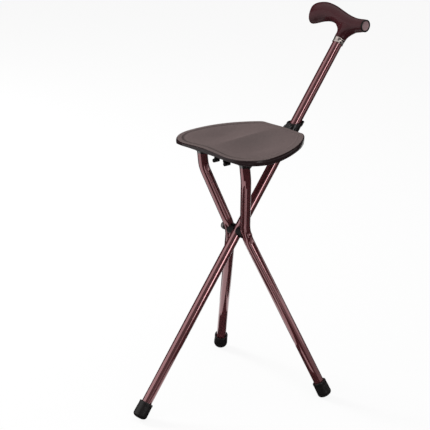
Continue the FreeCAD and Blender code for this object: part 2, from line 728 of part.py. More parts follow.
# The bolt runs along Y from the cap nut on the right to its head on the left
head_low = str(outer_face + size("saddle_gap")) + " + hub_washer_thick"
body = new_body("hub_bolt")
base = revolve(body, "hub_bolt_form", [
    ("0", "-(" + head_low + ") - cap_tall * 0.6"),
    ("bolt_radius", "-(" + head_low + ") - cap_tall * 0.6"),
    ("bolt_radius", head_low),
    ("hub_head_radius", head_low),
    ("hub_head_radius", head_low + " + hub_head_tall * 0.35"),
    ("hub_head_radius * 0.8", head_low + " + hub_head_tall * 0.8"),
    ("hub_head_radius * 0.5", head_low + " + hub_head_tall"),
    ("bolt_radius * 0.6", head_low + " + hub_head_tall"),
    ("bolt_radius * 0.6", head_low + " + hub_head_tall * 0.4"),
    ("0", head_low + " + hub_head_tall * 0.4"),
])
bolt_frame = FreeCAD.Placement(hub, FreeCAD.Rotation(Z_AXIS, Y_AXIS))
keep(body, bolt_frame)

body = new_body("hub_cap_nut")
base = revolve(body, "cap_nut_form", [
    ("bolt_radius", "0"),
    ("cap_radius", "0"),
    ("cap_radius", "cap_tall * 0.45"),
    ("cap_radius * 0.86", "cap_tall * 0.8"),
    ("cap_radius * 0.5", "cap_tall"),
    ("0", "cap_tall"),
    ("0", "cap_tall * 0.6"),
    ("bolt_radius", "cap_tall * 0.6"),
])
cap_place = along(V(0, -1, 0), V(0, -value_of(head_low), 0))
keep(body, hub_frame.multiply(cap_place))

# Slider: an oblique-topped sleeve with a lip, an arm of two cheeks and a hinge knuckle
slider_low = collar_low + size("collar_tall") + size("rest_gap")
sleeve_radius = "(tube_od / 2 + sleeve_wall)"
pin_level = "knuckle_rise"
slope = "tan(shaft_lean * 1 deg)"
front_top = "(sleeve_back - 2 * %s * %s)" % (sleeve_radius, slope)
bore_radius = "(tube_od / 2 + sleeve_front_gap + sleeve_slack / 2)"


def sleeve_side(radius, drop):
    """Side view of a round sleeve whose top is cut along the seat's level."""
    back = "(sleeve_back + (%s - %s) * %s - %s)" % (radius, sleeve_radius, slope, drop)
    front = "(sleeve_back - (%s + %s) * %s - %s)" % (radius, sleeve_radius, slope, drop)
    return back, front


body = new_body("slider_collar")
pad(body, "sleeve_lip", "XY_Plane",
    lambda sketch: draw_circle(sketch, "0", "0", sleeve_radius + " + sleeve_lip"),
    "sleeve_back + sleeve_lip * 2", middle=False)
lip_reach = "(" + sleeve_radius + " + sleeve_lip + 1)"
lip_back, lip_front = sleeve_side(lip_reach, "sleeve_lip_tall")
pocket(body, "under_lip", "XZ_Plane", lambda sketch: draw_polygon(sketch, [
    ("-" + lip_reach, "-1"),
    (lip_reach, "-1"),
    (lip_reach, lip_front),
    ("-" + lip_reach, lip_back),
]))
pad(body, "sleeve", "XY_Plane",
    lambda sketch: draw_circle(sketch, "0", "0", sleeve_radius), "sleeve_back", middle=False)
pad(body, "sleeve_arm", "XZ_Plane", lambda sketch: draw_polygon(sketch, [
    ("tube_od / 2", "0.6"),
    (sleeve_radius + " - 0.5", "0.6"),
    ("knuckle_out + knuckle_radius * 0.7", pin_level + " - knuckle_radius * 0.714"),
    ("knuckle_out + knuckle_radius * 0.9", pin_level + " + knuckle_radius * 0.436"),
    (sleeve_radius + " - 0.5", front_top + " - 4"),
    ("tube_od / 2", front_top + " - 4"),
]), "knuckle_width - 2 * cheek_thick")
pad(body, "knuckle", "XZ_Plane",
    lambda sketch: draw_circle(sketch, "knuckle_out", pin_level, "knuckle_radius"),
    "knuckle_width")
sleeve_outline_back, sleeve_outline_front = sleeve_side("(" + sleeve_radius + " + 3)", "0")
pocket(body, "sleeve_top_cut", "XZ_Plane", lambda sketch: draw_polygon(sketch, [
    ("-" + sleeve_radius + " - 3", sleeve_outline_back),
    (sleeve_radius + " + 3", sleeve_outline_front),
    (sleeve_radius + " + 3", "sleeve_back + 20"),
    ("-" + sleeve_radius + " - 3", "sleeve_back + 20"),
]))
pocket(body, "arm_slot", "XZ_Plane", lambda sketch: draw_polygon(sketch, [
    (sleeve_radius + " + 0.4", pin_level + " + knuckle_radius + 1"),
    (sleeve_radius + " + 8", pin_level + " + knuckle_radius + 1"),
    (sleeve_radius + " + 8", "sleeve_back"),
    (sleeve_radius + " + 0.4", "sleeve_back"),
]), "knuckle_width - 4 * cheek_thick")
pocket(body, "sleeve_bore", "XY_Plane",
       lambda sketch: draw_circle(sketch, "-sleeve_slack / 2", "0", bore_radius))
pocket(body, "knuckle_bore", "XZ_Plane",
       lambda sketch: draw_circle(sketch, "knuckle_out", pin_level, "pin_radius + run_fit"))
slider_place = FreeCAD.Placement(V(0, 0, slider_low), FreeCAD.Rotation())
keep(body, shaft_frame.multiply(slider_place))


# Seat moulding
def seat_outline(inset, low, tall):
    """A prism on the seat's outline, drawn in by an inset."""
    front = size("seat_front") - inset
    rear = -(seat_rear - inset)
    half = size("seat_half") - inset
    corner_radius = size("seat_corner") - inset
    side_radius = size("seat_side") - inset
    bend_x = size("seat_front") - size("seat_corner")
    bend_y = size("seat_half") - size("seat_corner")
    side_y = half - side_radius
    rear_y = side_y + math.sqrt(side_radius ** 2 - (bend_x - rear) ** 2)
    mid_x = (bend_x + rear) / 2
    mid_y = side_y + math.sqrt(side_radius ** 2 - (bend_x - mid_x) ** 2)
    turn = corner_radius * math.sqrt(0.5)
    edges = []
    for side in (1, -1):
        front_point = V(front, side * bend_y, low)
        corner_point = V(bend_x + turn, side * (bend_y + turn), low)
        wide_point = V(bend_x, side * half, low)
        side_point = V(mid_x, side * mid_y, low)
        rear_point = V(rear, side * rear_y, low)
        edges.append(Part.Arc(front_point, corner_point, wide_point).toShape())
        edges.append(Part.Arc(wide_point, side_point, rear_point).toShape())
    edges.append(Part.LineSegment(V(front, -bend_y, low), V(front, bend_y, low)).toShape())
    edges.append(Part.LineSegment(V(rear, -rear_y, low), V(rear, rear_y, low)).toShape())
    wire = Part.Wire(Part.__sortEdges__(edges))
    prism = Part.Face(wire).extrude(V(0, 0, tall))
    upright = []
    for edge in prism.Edges:
        ends = [vertex.Point for vertex in edge.Vertexes]
        if len(ends) == 2 and abs(ends[0].x - rear) < 0.01 and abs(ends[1].x - rear) < 0.01:
            if abs(abs(ends[0].z - ends[1].z) - tall) < 0.01:
                upright.append(edge)
    return prism.makeFillet(size("seat_rear_corner") - inset, upright)


def seat_level(forward, side):
    """Height of the seat's top: it falls to the front corners, with two thigh hollows
    that meet in a ridge, a crown at the rear and a rolled front edge."""
    share = (forward + seat_rear) / (size("seat_front") + seat_rear)
    share = min(1.0, max(0.0, share))
    fall = size("rim_pitch") * share
    fall += size("rim_wing") * share * (abs(side) / size("wing_out")) ** 1.5
    across = (abs(side) / size("hollow_out")) ** 1.3
    hollow = across * math.exp(1 - across)
    past = max(0.0, abs(side) - size("hollow_out")) / size("hollow_wide")
    hollow *= math.exp(-past ** 2) * math.exp(-((forward + 5.0) / size("hollow_long")) ** 2)
    crown = math.exp(-(side / size("crown_wide")) ** 2)
    crown *= math.exp(-((forward + 50.0) / size("hollow_long")) ** 2)
    roll = max(0.0, (forward - size("seat_front")) / size("roll_long") + 1) ** 2
    level = size("crown_tall") * crown - size("hollow_deep") * hollow
    return level - fall - size("front_roll") * roll


def skirt_level(forward, side):
    """Height of the skirt's lower edge, deeper at the sides and front corners."""
    share = min(1.0, max(0.0, (forward + 60.0) / 90.0))
    share = share * share * (3 - 2 * share)
    reach = min(1.0, abs(side) / 90.0) ** 4
    return -size("seat_skirt") - size("skirt_wing") * share * reach


def block_under(level, lowered, tall):
    """A block whose top follows a level over the whole seat, lowered by a wall."""
    rows = []
    margin = 15.0
    reach_x = size("seat_front") + seat_rear + 2 * margin
    reach_y = 2 * (size("seat_half") + margin)
    count_x = 13
    count_y = 21
    for i in range(count_x):
        row = []
        forward = -seat_rear - margin + reach_x * i / (count_x - 1)
        for j in range(count_y):
            side = -reach_y / 2 + reach_y * j / (count_y - 1)
            row.append(V(forward, side, level(forward, side) - lowered))
        rows.append(row)
    surface = Part.BSplineSurface()
    surface.interpolate(rows)
    return surface.toShape().extrude(V(0, 0, -tall))


def seat_block(lowered):
    """Everything below the seat's top surface, lowered by a wall."""
    return block_under(seat_level, lowered, 60)


def seat_shape():
    wall = size("seat_wall")
    skirt = size("seat_skirt")
    deep = skirt + size("skirt_wing") + 5
    shell = seat_outline(0, -deep, deep + 20).common(seat_block(0))
    rim = []
    for edge in shell.Edges:
        ends = [vertex.Point.z for vertex in edge.Vertexes]
        if min(ends) > -deep + 1:
            rim.append(edge)
    shell = shell.makeFillet(size("seat_round"), rim)
    cavity = seat_outline(wall, -deep - 5, deep + 25).common(seat_block(wall))
    shell = shell.cut(cavity).cut(block_under(skirt_level, 0, 40))
    # long ribs under the top
    rib_low = -size("rib_deep")
    rib_back = -seat_rear * 0.8
    rib_long = size("seat_front") * 0.66 - rib_back
    for side in (1, -1):
        rib = Part.makeBox(rib_long, size("rib_thick"), size("rib_deep") + 5,
                           V(rib_back, side * size("rib_out") - size("rib_thick") / 2, rib_low))
        shell = shell.fuse(rib.common(cavity))
    # rear window in the skirt for the slider's arm
    window = size("knuckle_width") / 2 + size("side_gap")
    window_base = V(-seat_rear - 20, -window, -40 - size("window_level"))
    window_tool = Part.makeBox(40, 2 * window, 40, window_base)
    shell = shell.cut(window_tool)
    return shell, cavity


lug_pin = V(size("leg_pin_fwd"), size("leg_knee_out"), -size("leg_pin_drop"))
lug_top = lug_pin.z + size("lug_drop")
lug_screw_out = half_tube + size("side_gap") + size("lug_ear") + size("lug_flange") / 2
lug_screw_x = lug_pin.x + (size("lug_front") - size("lug_rear")) / 2
lug_screw_places = []
for lug_side in (lug_pin.y, -lug_pin.y):
    for screw_side in (lug_screw_out, -lug_screw_out):
        lug_screw_places.append((lug_screw_x, lug_side + screw_side))


def seat_with_mounts():
    """The moulding with its hinge ears and the pads that carry the lugs and the clip."""
    shell, cavity = seat_shape()
    half = size("knuckle_width") / 2 + size("side_gap")
    ear = size("ear_thick")
    radius = size("ear_radius")
    for side in (1, -1):
        low = half if side > 0 else -half - ear
        disc = Part.makeCylinder(radius, ear, V(knuckle.x, low, knuckle.z), Y_AXIS)
        plate = Part.makeBox(radius * 3.4, ear, 40, V(knuckle.x - radius, low, knuckle.z))
        brace_points = [V(knuckle.x, low, knuckle.z - radius),
                        V(knuckle.x + radius * 2.4, low, knuckle.z + radius * 0.6),
                        V(knuckle.x, low, knuckle.z + radius * 0.6),
                        V(knuckle.x, low, knuckle.z - radius)]
        brace = Part.Face(Part.makePolygon(brace_points)).extrude(V(0, ear, 0))
        ears = disc.fuse(plate).fuse(brace).common(seat_outline(0, -60, 80))
        ears = ears.common(seat_block(size("seat_wall") * 0.5))
        shell = shell.fuse(ears)
    for side in (1, -1):
        wide = lug_screw_out + size("lug_flange") / 2 + 1
        pad_block = Part.makeBox(size("lug_front") + size("lug_rear") + 2, 2 * wide, 40,
                                 V(lug_pin.x - size("lug_rear") - 1, side * lug_pin.y - wide,
                                   lug_top))
        shell = shell.fuse(pad_block.common(seat_block(size("seat_wall") * 0.5)))
    for x, y in lug_screw_places:
        hole = Part.makeCylinder(size("screw_radius"), size("screw_length") + 0.4,
                                 V(x, y, lug_top - size("lug_base")))
        shell = shell.cut(hole)
    bore = Part.makeCylinder(size("pin_radius"), 80, V(knuckle.x, -40, knuckle.z), Y_AXIS)
    shell = shell.cut(bore)
    return shell.removeSplitter()


feature = plain_feature("seat_shell", seat_with_mounts())
keep(feature, seat_frame)

# Pin of the rear hinge, fast in the seat's ears
ear_out = "(knuckle_width / 2 + side_gap + ear_thick)"
body = new_body("rear_hinge_pin")
revolve(body, "rear_pin_form", [
    ("0", "-" + ear_out + " - pin_head_thick"),
    ("pin_head_radius * 0.7", "-" + ear_out + " - pin_head_thick"),
    ("pin_head_radius", "-" + ear_out + " - pin_head_thick * 0.5"),
    ("pin_head_radius", "-" + ear_out),
    ("pin_radius", "-" + ear_out),
    ("pin_radius", ear_out),
    ("pin_head_radius", ear_out),
    ("pin_head_radius", ear_out + " + pin_head_thick * 0.5"),
    ("pin_head_radius * 0.7", ear_out + " + pin_head_thick"),
    ("0", ear_out + " + pin_head_thick"),
])
keep(body, seat_frame.multiply(along(Y_AXIS, knuckle)))

# Leg lugs: a base plate under the seat with an ear each side of the leg top, and the pin
lug_inner = "(tube_od / 2 + side_gap)"
lug_outer = "(tube_od / 2 + side_gap + lug_ear)"


def leg_lug(side, word):
    """A clevis in side view: plate on top, ears that narrow to a rounded end."""
    body = new_body(word + "_leg_lug")
    pad(body, word + "_lug_ears", "XZ_Plane", lambda sketch: draw_polygon(sketch, [
        ("-lug_rear", "lug_drop - lug_base / 2"),
        ("-lug_rear", "lug_drop - lug_base"),
        ("-lug_radius", "-lug_radius * 0.2"),
        ("-lug_radius * 0.8", "-lug_radius * 0.6"),
        ("-lug_radius * 0.3", "-lug_radius * 0.95"),
        ("lug_radius * 0.3", "-lug_radius * 0.95"),
        ("lug_radius * 0.8", "-lug_radius * 0.6"),
        ("lug_radius", "0"),
        ("lug_front", "lug_drop - lug_base"),
        ("lug_front", "lug_drop - lug_base / 2"),
    ]), "2 * " + lug_outer)
    pocket(body, word + "_lug_gap", "YZ_Plane", lambda sketch: draw_polygon(sketch, [
        ("-" + lug_inner, "-lug_drop * 2"),
        (lug_inner, "-lug_drop * 2"),
        (lug_inner, "lug_drop - lug_base"),
        ("-" + lug_inner, "lug_drop - lug_base"),
    ]))
    pad(body, word + "_lug_plate", "XZ_Plane", lambda sketch: draw_polygon(sketch, [
        ("-lug_rear", "lug_drop - lug_base"),
        ("lug_front", "lug_drop - lug_base"),
        ("lug_front", "lug_drop"),
        ("-lug_rear", "lug_drop"),
    ]), "2 * (" + lug_outer + " + lug_flange)")

    def screw_holes(sketch):
        across = "(" + lug_outer + " + lug_flange / 2)"
        draw_circle(sketch, "(lug_front - lug_rear) / 2", across, "screw_radius")
        draw_circle(sketch, "(lug_front - lug_rear) / 2", "-" + across, "screw_radius")

    pocket(body, word + "_lug_screw_holes", "XY_Plane", screw_holes)
    pocket(body, word + "_lug_bore", "XZ_Plane",
           lambda sketch: draw_circle(sketch, "0", "0", "pin_radius"))
    place = FreeCAD.Placement(V(lug_pin.x, side * lug_pin.y, lug_pin.z), FreeCAD.Rotation())
    keep(body, seat_frame.multiply(place))
    pin = new_body(word + "_top_pin")
    revolve(pin, word + "_top_pin_form", [
        ("0", "-" + lug_outer + " - pin_head_thick"),
        ("pin_head_radius * 0.7", "-" + lug_outer + " - pin_head_thick"),
        ("pin_head_radius", "-" + lug_outer + " - pin_head_thick * 0.5"),
        ("pin_head_radius", "-" + lug_outer),
        ("pin_radius", "-" + lug_outer),
        ("pin_radius", lug_outer),
        ("pin_head_radius", lug_outer),
        ("pin_head_radius", lug_outer + " + pin_head_thick * 0.5"),
        ("pin_head_radius * 0.7", lug_outer + " + pin_head_thick"),
        ("0", lug_outer + " + pin_head_thick"),
    ])
    keep(pin, seat_frame.multiply(place).multiply(along(Y_AXIS)))


leg_lug(1, "left")
leg_lug(-1, "right")


# Pan-head screws that hold the lugs, one form at four places
screw = doc.addObject("Part::Cylinder", "screw_shank")
screw.setExpression("Radius", bound("screw_radius"))
screw.setExpression("Height", bound("screw_length"))
head = doc.addObject("Part::Cone", "screw_pan")
head.setExpression("Radius1", bound("screw_head * 0.7"))
head.setExpression("Radius2", bound("screw_head"))
head.setExpression("Height", bound("screw_head * 0.6"))
head.Placement.Base = V(0, 0, -0.6 * size("screw_head"))
whole_screw = boolean("Fuse", "screw_whole", screw, head)
doc.recompute()
copies = []
for index, (x, y) in enumerate(lug_screw_places):
    link = doc.addObject("App::Link", "screw_%d" % (index + 1))
    link.LinkedObject = whole_screw
    link.Placement = FreeCAD.Placement(V(x, y, lug_top - size("lug_base")), FreeCAD.Rotation())
    copies.append(link)
feature = doc.addObject("Part::Compound", "lug_screws")
feature.Links = copies
keep(feature, seat_frame)


# Cane clip: a sprung strip under the seat whose arms end in beads and hug the folded cane
def clip_shape():
    wall = size("clip_wall")
    long = size("clip_length")
    inside = half_tube + size("clip_gap")
    axis = -size("clip_drop")
    reach = -size("clip_reach")
    spread = size("clip_spread")
    rear = -long / 2
    top = axis + inside + wall
    foot_z = axis - half_tube * 0.55
    strip = Part.makeBox(long, 2 * (inside + wall), top - foot_z, V(rear, -inside - wall, foot_z))
    tunnel = Part.makeCylinder(inside, long + 2, V(rear - 1, 0, axis), X_AXIS)
    slot = Part.makeBox(long + 2, 2 * inside, 60, V(rear - 1, -inside, axis - 60))
    clip = strip.cut(tunnel).cut(slot)
    for side in (1, -1):
        bead = Part.makeCylinder(size("clip_bead"), long, V(rear, side * spread, reach), X_AXIS)
        flare_points = [V(rear, side * inside, foot_z + 2),
                        V(rear, side * (inside + wall), foot_z + 2),
                        V(rear, side * (spread + wall * 0.6), reach + 1),
                        V(rear, side * (spread - wall * 0.7), reach + 1),
                        V(rear, side * inside, foot_z),
                        V(rear, side * inside, foot_z + 2)]
        flare = Part.Face(Part.makePolygon(flare_points)).extrude(V(long, 0, 0))
        clip = clip.fuse(flare).fuse(bead)
    plate_half = size("rib_out") - size("rib_thick") / 2 - size("side_gap") / 2
    plate = Part.makeBox(long, 2 * plate_half, wall, V(rear, -plate_half, top - wall))
    clip = clip.fuse(plate.cut(tunnel).cut(slot))
    pillar_half = size("clip_pillar") / 2
    pillar = Part.makeBox(long, 2 * pillar_half, 30, V(rear, -pillar_half, top - wall * 0.3))
    clip = clip.fuse(pillar)
    clip.translate(V(size("clip_fwd"), 0, 0))
    return clip.common(seat_block(size("seat_wall"))).removeSplitter()


feature = plain_feature("shaft_clip", clip_shape())
keep(feature, seat_frame)

# Stand the whole object on the floor and centre it over its footprint
doc.recompute()
reach_x = []
for feature in parts:
    reach_x += [point.x for point in feature.Shape.tessellate(0.05)[0]]
shift = V(-(min(reach_x) + max(reach_x)) / 2, 0, 0)
print("shift to the origin", [round(value, 3) for value in shift])
for feature in parts:
    place = FreeCAD.Placement(feature.Placement)
    place.Base = place.Base + shift
    feature.Placement = place
doc.recompute()

# Check every object and every piece, then write the pieces
for item in doc.Objects:
    if "Invalid" in item.State or "Error" in item.State:
        raise ValueError("failed object: " + item.Name)
facets = 0
for feature in parts + mirrored:
    shape = feature.Shape
    if shape.isNull() or not shape.isValid() or not shape.Solids:
        raise ValueError("bad shape: " + feature.Label)
    box = shape.BoundBox
    print("%-20s solids %d volume %9.1f" % (feature.Label, len(shape.Solids), shape.Volume),
          "x %.1f %.1f" % (box.XMin, box.XMax), "y %.1f %.1f" % (box.YMin, box.YMax),
          "z %.1f %.1f" % (box.ZMin, box.ZMax))
    shape.exportStep("parts/" + feature.Label + ".step")
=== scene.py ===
import math

import bpy
import numpy as np
from mathutils import Matrix, Vector


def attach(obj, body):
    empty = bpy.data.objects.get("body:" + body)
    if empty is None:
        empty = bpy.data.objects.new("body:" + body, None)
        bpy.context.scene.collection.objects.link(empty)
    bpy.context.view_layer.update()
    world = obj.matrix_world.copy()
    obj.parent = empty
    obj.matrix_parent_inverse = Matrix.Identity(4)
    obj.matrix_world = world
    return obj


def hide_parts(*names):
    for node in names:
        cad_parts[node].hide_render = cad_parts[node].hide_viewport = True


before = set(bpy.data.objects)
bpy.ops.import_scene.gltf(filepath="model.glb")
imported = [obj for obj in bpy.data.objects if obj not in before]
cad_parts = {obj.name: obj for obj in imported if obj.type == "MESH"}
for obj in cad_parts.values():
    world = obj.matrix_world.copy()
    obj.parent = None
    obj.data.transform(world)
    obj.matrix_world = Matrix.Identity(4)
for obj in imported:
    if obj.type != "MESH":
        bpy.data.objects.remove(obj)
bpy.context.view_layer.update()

bl_info = {
    "name": "Walking Stick Seat",
    "version": (1, 0, 0),
    "blender": (4, 5, 0),
    "location": "3D View > Sidebar > Stick Seat",
    "description": "Surfaces, finishes and studio for a folding three-legged cane seat",
    "category": "Object",
}


# Frame of the cane: the hub bolt is its origin and the cane leans backwards from it
LEAN = math.radians(37.0)
HUB = np.array((0.025626, 0.0, 0.314659))
CANE_ACROSS = np.array((math.cos(LEAN), 0.0, math.sin(LEAN)))
CANE_SIDE = np.array((0.0, 1.0, 0.0))
CANE_UP = np.array((-math.sin(LEAN), 0.0, math.cos(LEAN)))
MM = 0.001
# Feet of the cane and the legs, and where the legs bend: from the hub, in metres
CANE_FOOT = 0.3847
LEG_FOOT_BACK, LEG_FOOT_SIDE, LEG_BEND_SIDE = 0.1004, 0.1519, 0.0193

# Camera fitted to the photo: its size and focal length in pixels, its middle, and its pose
PHOTO_PIXELS = 430.0
FOCAL_PIXELS = 1408.2646
PHOTO_MIDDLE = (237.9808, 230.5754)
SENSOR_WIDTH = 36.0
CAMERA_RIGHT = (-0.7397011746, 0.6724225722, 0.0262689284)
CAMERA_UP = (-0.2101722813, -0.2679321464, 0.9402340012)
CAMERA_AHEAD = (-0.6392728560, -0.6899711945, -0.3395143094)
CAMERA_EYE = (1.690713, 1.797139, 1.198978)


# Surface helpers
def on_cane(across, side, rise):
    """Places points given in millimetres across, beside and up the cane."""
    across, side, rise = np.broadcast_arrays(across, side, rise)
    return (HUB + MM * (across[..., None] * CANE_ACROSS + side[..., None] * CANE_SIDE
                        + rise[..., None] * CANE_UP))


def smooth_curve(knots, values, wanted):
    """A curve through the given knots whose slope at each knot is the mean of the runs
    beside it, joined by cubic arcs."""
    knots = np.asarray(knots, float)
    values = np.asarray(values, float)
    slopes = np.gradient(values, knots)
    wanted = np.clip(wanted, knots[0], knots[-1])
    place = np.clip(np.searchsorted(knots, wanted) - 1, 0, len(knots) - 2)
    span = knots[place + 1] - knots[place]
    part = (wanted - knots[place]) / span
    return ((1 + 2 * part) * (1 - part) ** 2 * values[place]
            + part * (1 - part) ** 2 * span * slopes[place]
            + part ** 2 * (3 - 2 * part) * values[place + 1]
            + part ** 2 * (part - 1) * span * slopes[place + 1])


def closed_surface(rings, hollow=False):
    """Faces of rings of points that wrap round. The end rings are joined to each other on a
    hollow piece, and closed with a fan round their middle on a whole one."""
    rows, count = rings.shape[:2]
    here = np.arange(rows * count).reshape(rows, count)
    after = np.roll(here, -1, axis=1)
    quads = np.stack([here[:-1], after[:-1], after[1:], here[1:]], -1).reshape(-1, 4)
    if hollow:
        seam = np.stack([here[-1], after[-1], after[0], here[0]], -1)
        return rings.reshape(-1, 3), np.concatenate([quads, seam]), np.empty((0, 3), int)
    ends = np.stack([rings[0].mean(0), rings[-1].mean(0)])
    points = np.concatenate([rings.reshape(-1, 3), ends])
    first = np.stack([after[0], here[0], np.full(count, rows * count)], -1)
    last = np.stack([here[-1], after[-1], np.full(count, rows * count + 1)], -1)
    return points, quads, np.concatenate([first, last])


def piece_from(name, points, quads, triangles, body, materials):
    """A smooth piece from points and faces, turned so that its faces point outwards."""
    loops = np.concatenate([quads.ravel(), triangles.ravel()])
    one = np.concatenate([quads[:, (0, 1, 2)], quads[:, (0, 2, 3)], triangles])
    centre = points.mean(0)
    corners = points[one] - centre
    volume = np.einsum("ij,ij->i", corners[:, 0], np.cross(corners[:, 1], corners[:, 2])).sum()
    mesh = bpy.data.meshes.new(name)
    mesh.vertices.add(len(points))
    mesh.vertices.foreach_set("co", points.astype(np.float32).ravel())
    mesh.loops.add(len(loops))
    mesh.loops.foreach_set("vertex_index", loops.astype(np.int32))
    starts = np.concatenate([np.arange(len(quads)) * 4,
                             4 * len(quads) + np.arange(len(triangles)) * 3])
    mesh.polygons.add(len(quads) + len(triangles))
    mesh.polygons.foreach_set("loop_start", starts.astype(np.int32))
    mesh.update(calc_edges=True)
    if volume < 0:
        mesh.flip_normals()
    mesh.polygons.foreach_set("use_smooth", np.ones(len(mesh.polygons), bool))
    mesh.validate()
    for material in materials:
        mesh.materials.append(material)
    piece = bpy.data.objects.new(name, mesh)
    bpy.context.scene.collection.objects.link(piece)
    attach(piece, body)
    return piece


def crisp_rings(mesh, count, rows):
    """Marks the edges along whole rings as sharp, so that the shading breaks there."""
    pairs = np.empty(len(mesh.edges) * 2, np.int32)
    mesh.edges.foreach_get("vertices", pairs)
    row = pairs.reshape(-1, 2) // count
    sharp = (row[:, 0] == row[:, 1]) & np.isin(row[:, 0], rows)
    mesh.edges.foreach_set("use_edge_sharp", sharp)


def turned(name, profile, foot, axis, body, materials, replaced=(), count=96, crisp=(),
           hollow=False):
    """A turned piece: a profile of radius and height in millimetres carried round an axis."""
    profile = np.asarray(profile, float)
    axis = np.asarray(axis, float) / np.linalg.norm(axis)
    first = np.cross(axis, (0.0, 0.0, 1.0) if abs(axis[2]) < 0.9 else (1.0, 0.0, 0.0))
    first /= np.linalg.norm(first)
    second = np.cross(axis, first)
    turn = np.linspace(0, 2 * math.pi, count, endpoint=False)
    spoke = np.cos(turn)[:, None] * first + np.sin(turn)[:, None] * second
    rings = (np.asarray(foot) + MM * (profile[:, 0, None, None] * spoke
                                      + profile[:, 1, None, None] * axis))
    piece = piece_from(name, *closed_surface(rings, hollow), body, materials)
    if len(crisp):
        crisp_rings(piece.data, count, crisp)
    if replaced:
        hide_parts(*replaced)
    return piece


# Shader helpers
def empty_tree(owner, output_kind):
    """Clears the nodes of a material or world; gives its tree and a new output node."""
    owner.use_nodes = True
    tree = owner.node_tree
    tree.nodes.clear()
    return tree, tree.nodes.new(output_kind)


def start_material(name):
    """A material with a new principled shader; gives the material, its tree and the shader."""
    material = bpy.data.materials.new(name)
    tree, output = empty_tree(material, "ShaderNodeOutputMaterial")
    shader = tree.nodes.new("ShaderNodeBsdfPrincipled")
    tree.links.new(shader.outputs[0], output.inputs[0])
    return material, tree, shader


def object_coordinates(tree, stretch=(1, 1, 1), turn=(0, 0, 0)):
    """The piece's own coordinates in metres, turned and stretched."""
    source = tree.nodes.new("ShaderNodeTexCoord")
    mapping = tree.nodes.new("ShaderNodeMapping")
    mapping.inputs["Scale"].default_value = stretch
    mapping.inputs["Rotation"].default_value = turn
    tree.links.new(source.outputs["Object"], mapping.inputs["Vector"])
    return mapping.outputs[0]


def noise(tree, vector, scale, detail=3.0, rough=0.5):
    """Soft noise of a given number of features to the metre."""
    node = tree.nodes.new("ShaderNodeTexNoise")
    node.inputs["Scale"].default_value = scale
    node.inputs["Detail"].default_value = detail
    node.inputs["Roughness"].default_value = rough
    tree.links.new(vector, node.inputs["Vector"])
    return node.outputs[0]


def ramp(tree, factor, low, high, start=0.0, end=1.0):
    """A value or colour that runs from low to high as the factor goes from start to end."""
    node = tree.nodes.new("ShaderNodeMapRange")
    node.inputs["From Min"].default_value = start
    node.inputs["From Max"].default_value = end
    node.inputs["To Min"].default_value = low
    node.inputs["To Max"].default_value = high
    tree.links.new(factor, node.inputs["Value"])
    return node.outputs[0]


def blend_colours(tree, factor, first, second):
    """A mix of two colours by a factor; each is a colour or another node's output."""
    node = tree.nodes.new("ShaderNodeMix")
    node.data_type = "RGBA"
    tree.links.new(factor, node.inputs["Factor"])
    for value, place in ((first, 6), (second, 7)):
        if isinstance(value, bpy.types.NodeSocket):
            tree.links.new(value, node.inputs[place])
        else:
            node.inputs[place].default_value = tuple(value) + (1.0,)
    return node.outputs[2]


def bump(tree, shader, height, strength, distance):
    """Fine relief of a height pattern, in metres."""
    node = tree.nodes.new("ShaderNodeBump")
    node.inputs["Strength"].default_value = strength
    node.inputs["Distance"].default_value = distance
    tree.links.new(height, node.inputs["Height"])
    tree.links.new(node.outputs[0], shader.inputs["Normal"])


def tone(colour, share):
    """A colour made lighter or darker by a share."""
    return tuple(min(1.0, part * share) for part in colour[:3])


# Finishes
LEG_END_BLACK = (0.008, 0.006, 0.006)


def enamel(colour, name="wine_enamel", black_from=None):
    """Wine enamel over bright tube: a metallic base with fine cloud under a clear coat. The
    ends of the legs are black above a level."""
    material, tree, shader = start_material(name)
    place = object_coordinates(tree)
    cloud = noise(tree, place, 55.0, 4.0)
    base = blend_colours(tree, cloud, tone(colour, 0.88), tone(colour, 1.12))
    if black_from is None:
        shader.inputs["Metallic"].default_value = 0.7
    else:
        split = tree.nodes.new("ShaderNodeSeparateXYZ")
        tree.links.new(place, split.inputs[0])
        black = ramp(tree, split.outputs[2], 0.0, 1.0, black_from, black_from + 0.0004)
        base = blend_colours(tree, black, base, LEG_END_BLACK)
        tree.links.new(ramp(tree, black, 0.7, 0.0), shader.inputs["Metallic"])
    tree.links.new(base, shader.inputs["Base Color"])
    shader.inputs["Coat Weight"].default_value = 1.0
    shader.inputs["Coat IOR"].default_value = 1.8
    shader.inputs["Coat Roughness"].default_value = 0.04
    tree.links.new(ramp(tree, cloud, 0.07, 0.11), shader.inputs["Roughness"])
    bump(tree, shader, noise(tree, place, 90.0, 2.0), 0.006, 0.0001)
    return material


def lacquer(colour):
    """Dark burgundy handle with a faint grain along the grip and a soft sheen."""
    material, tree, shader = start_material("handle_lacquer")
    place = object_coordinates(tree, (700.0, 60.0, 700.0))
    grain = noise(tree, place, 1.0, 5.0, 0.6)
    cloud = noise(tree, object_coordinates(tree), 40.0, 3.0)
    base = blend_colours(tree, cloud, tone(colour, 0.82), tone(colour, 1.2))
    tree.links.new(base, shader.inputs["Base Color"])
    tree.links.new(ramp(tree, grain, 0.30, 0.38), shader.inputs["Roughness"])
    shader.inputs["Specular IOR Level"].default_value = 0.1
    shader.inputs["Coat Weight"].default_value = 0.22
    shader.inputs["Coat Roughness"].default_value = 0.14
    bump(tree, shader, grain, 0.10, 0.0002)
    return material


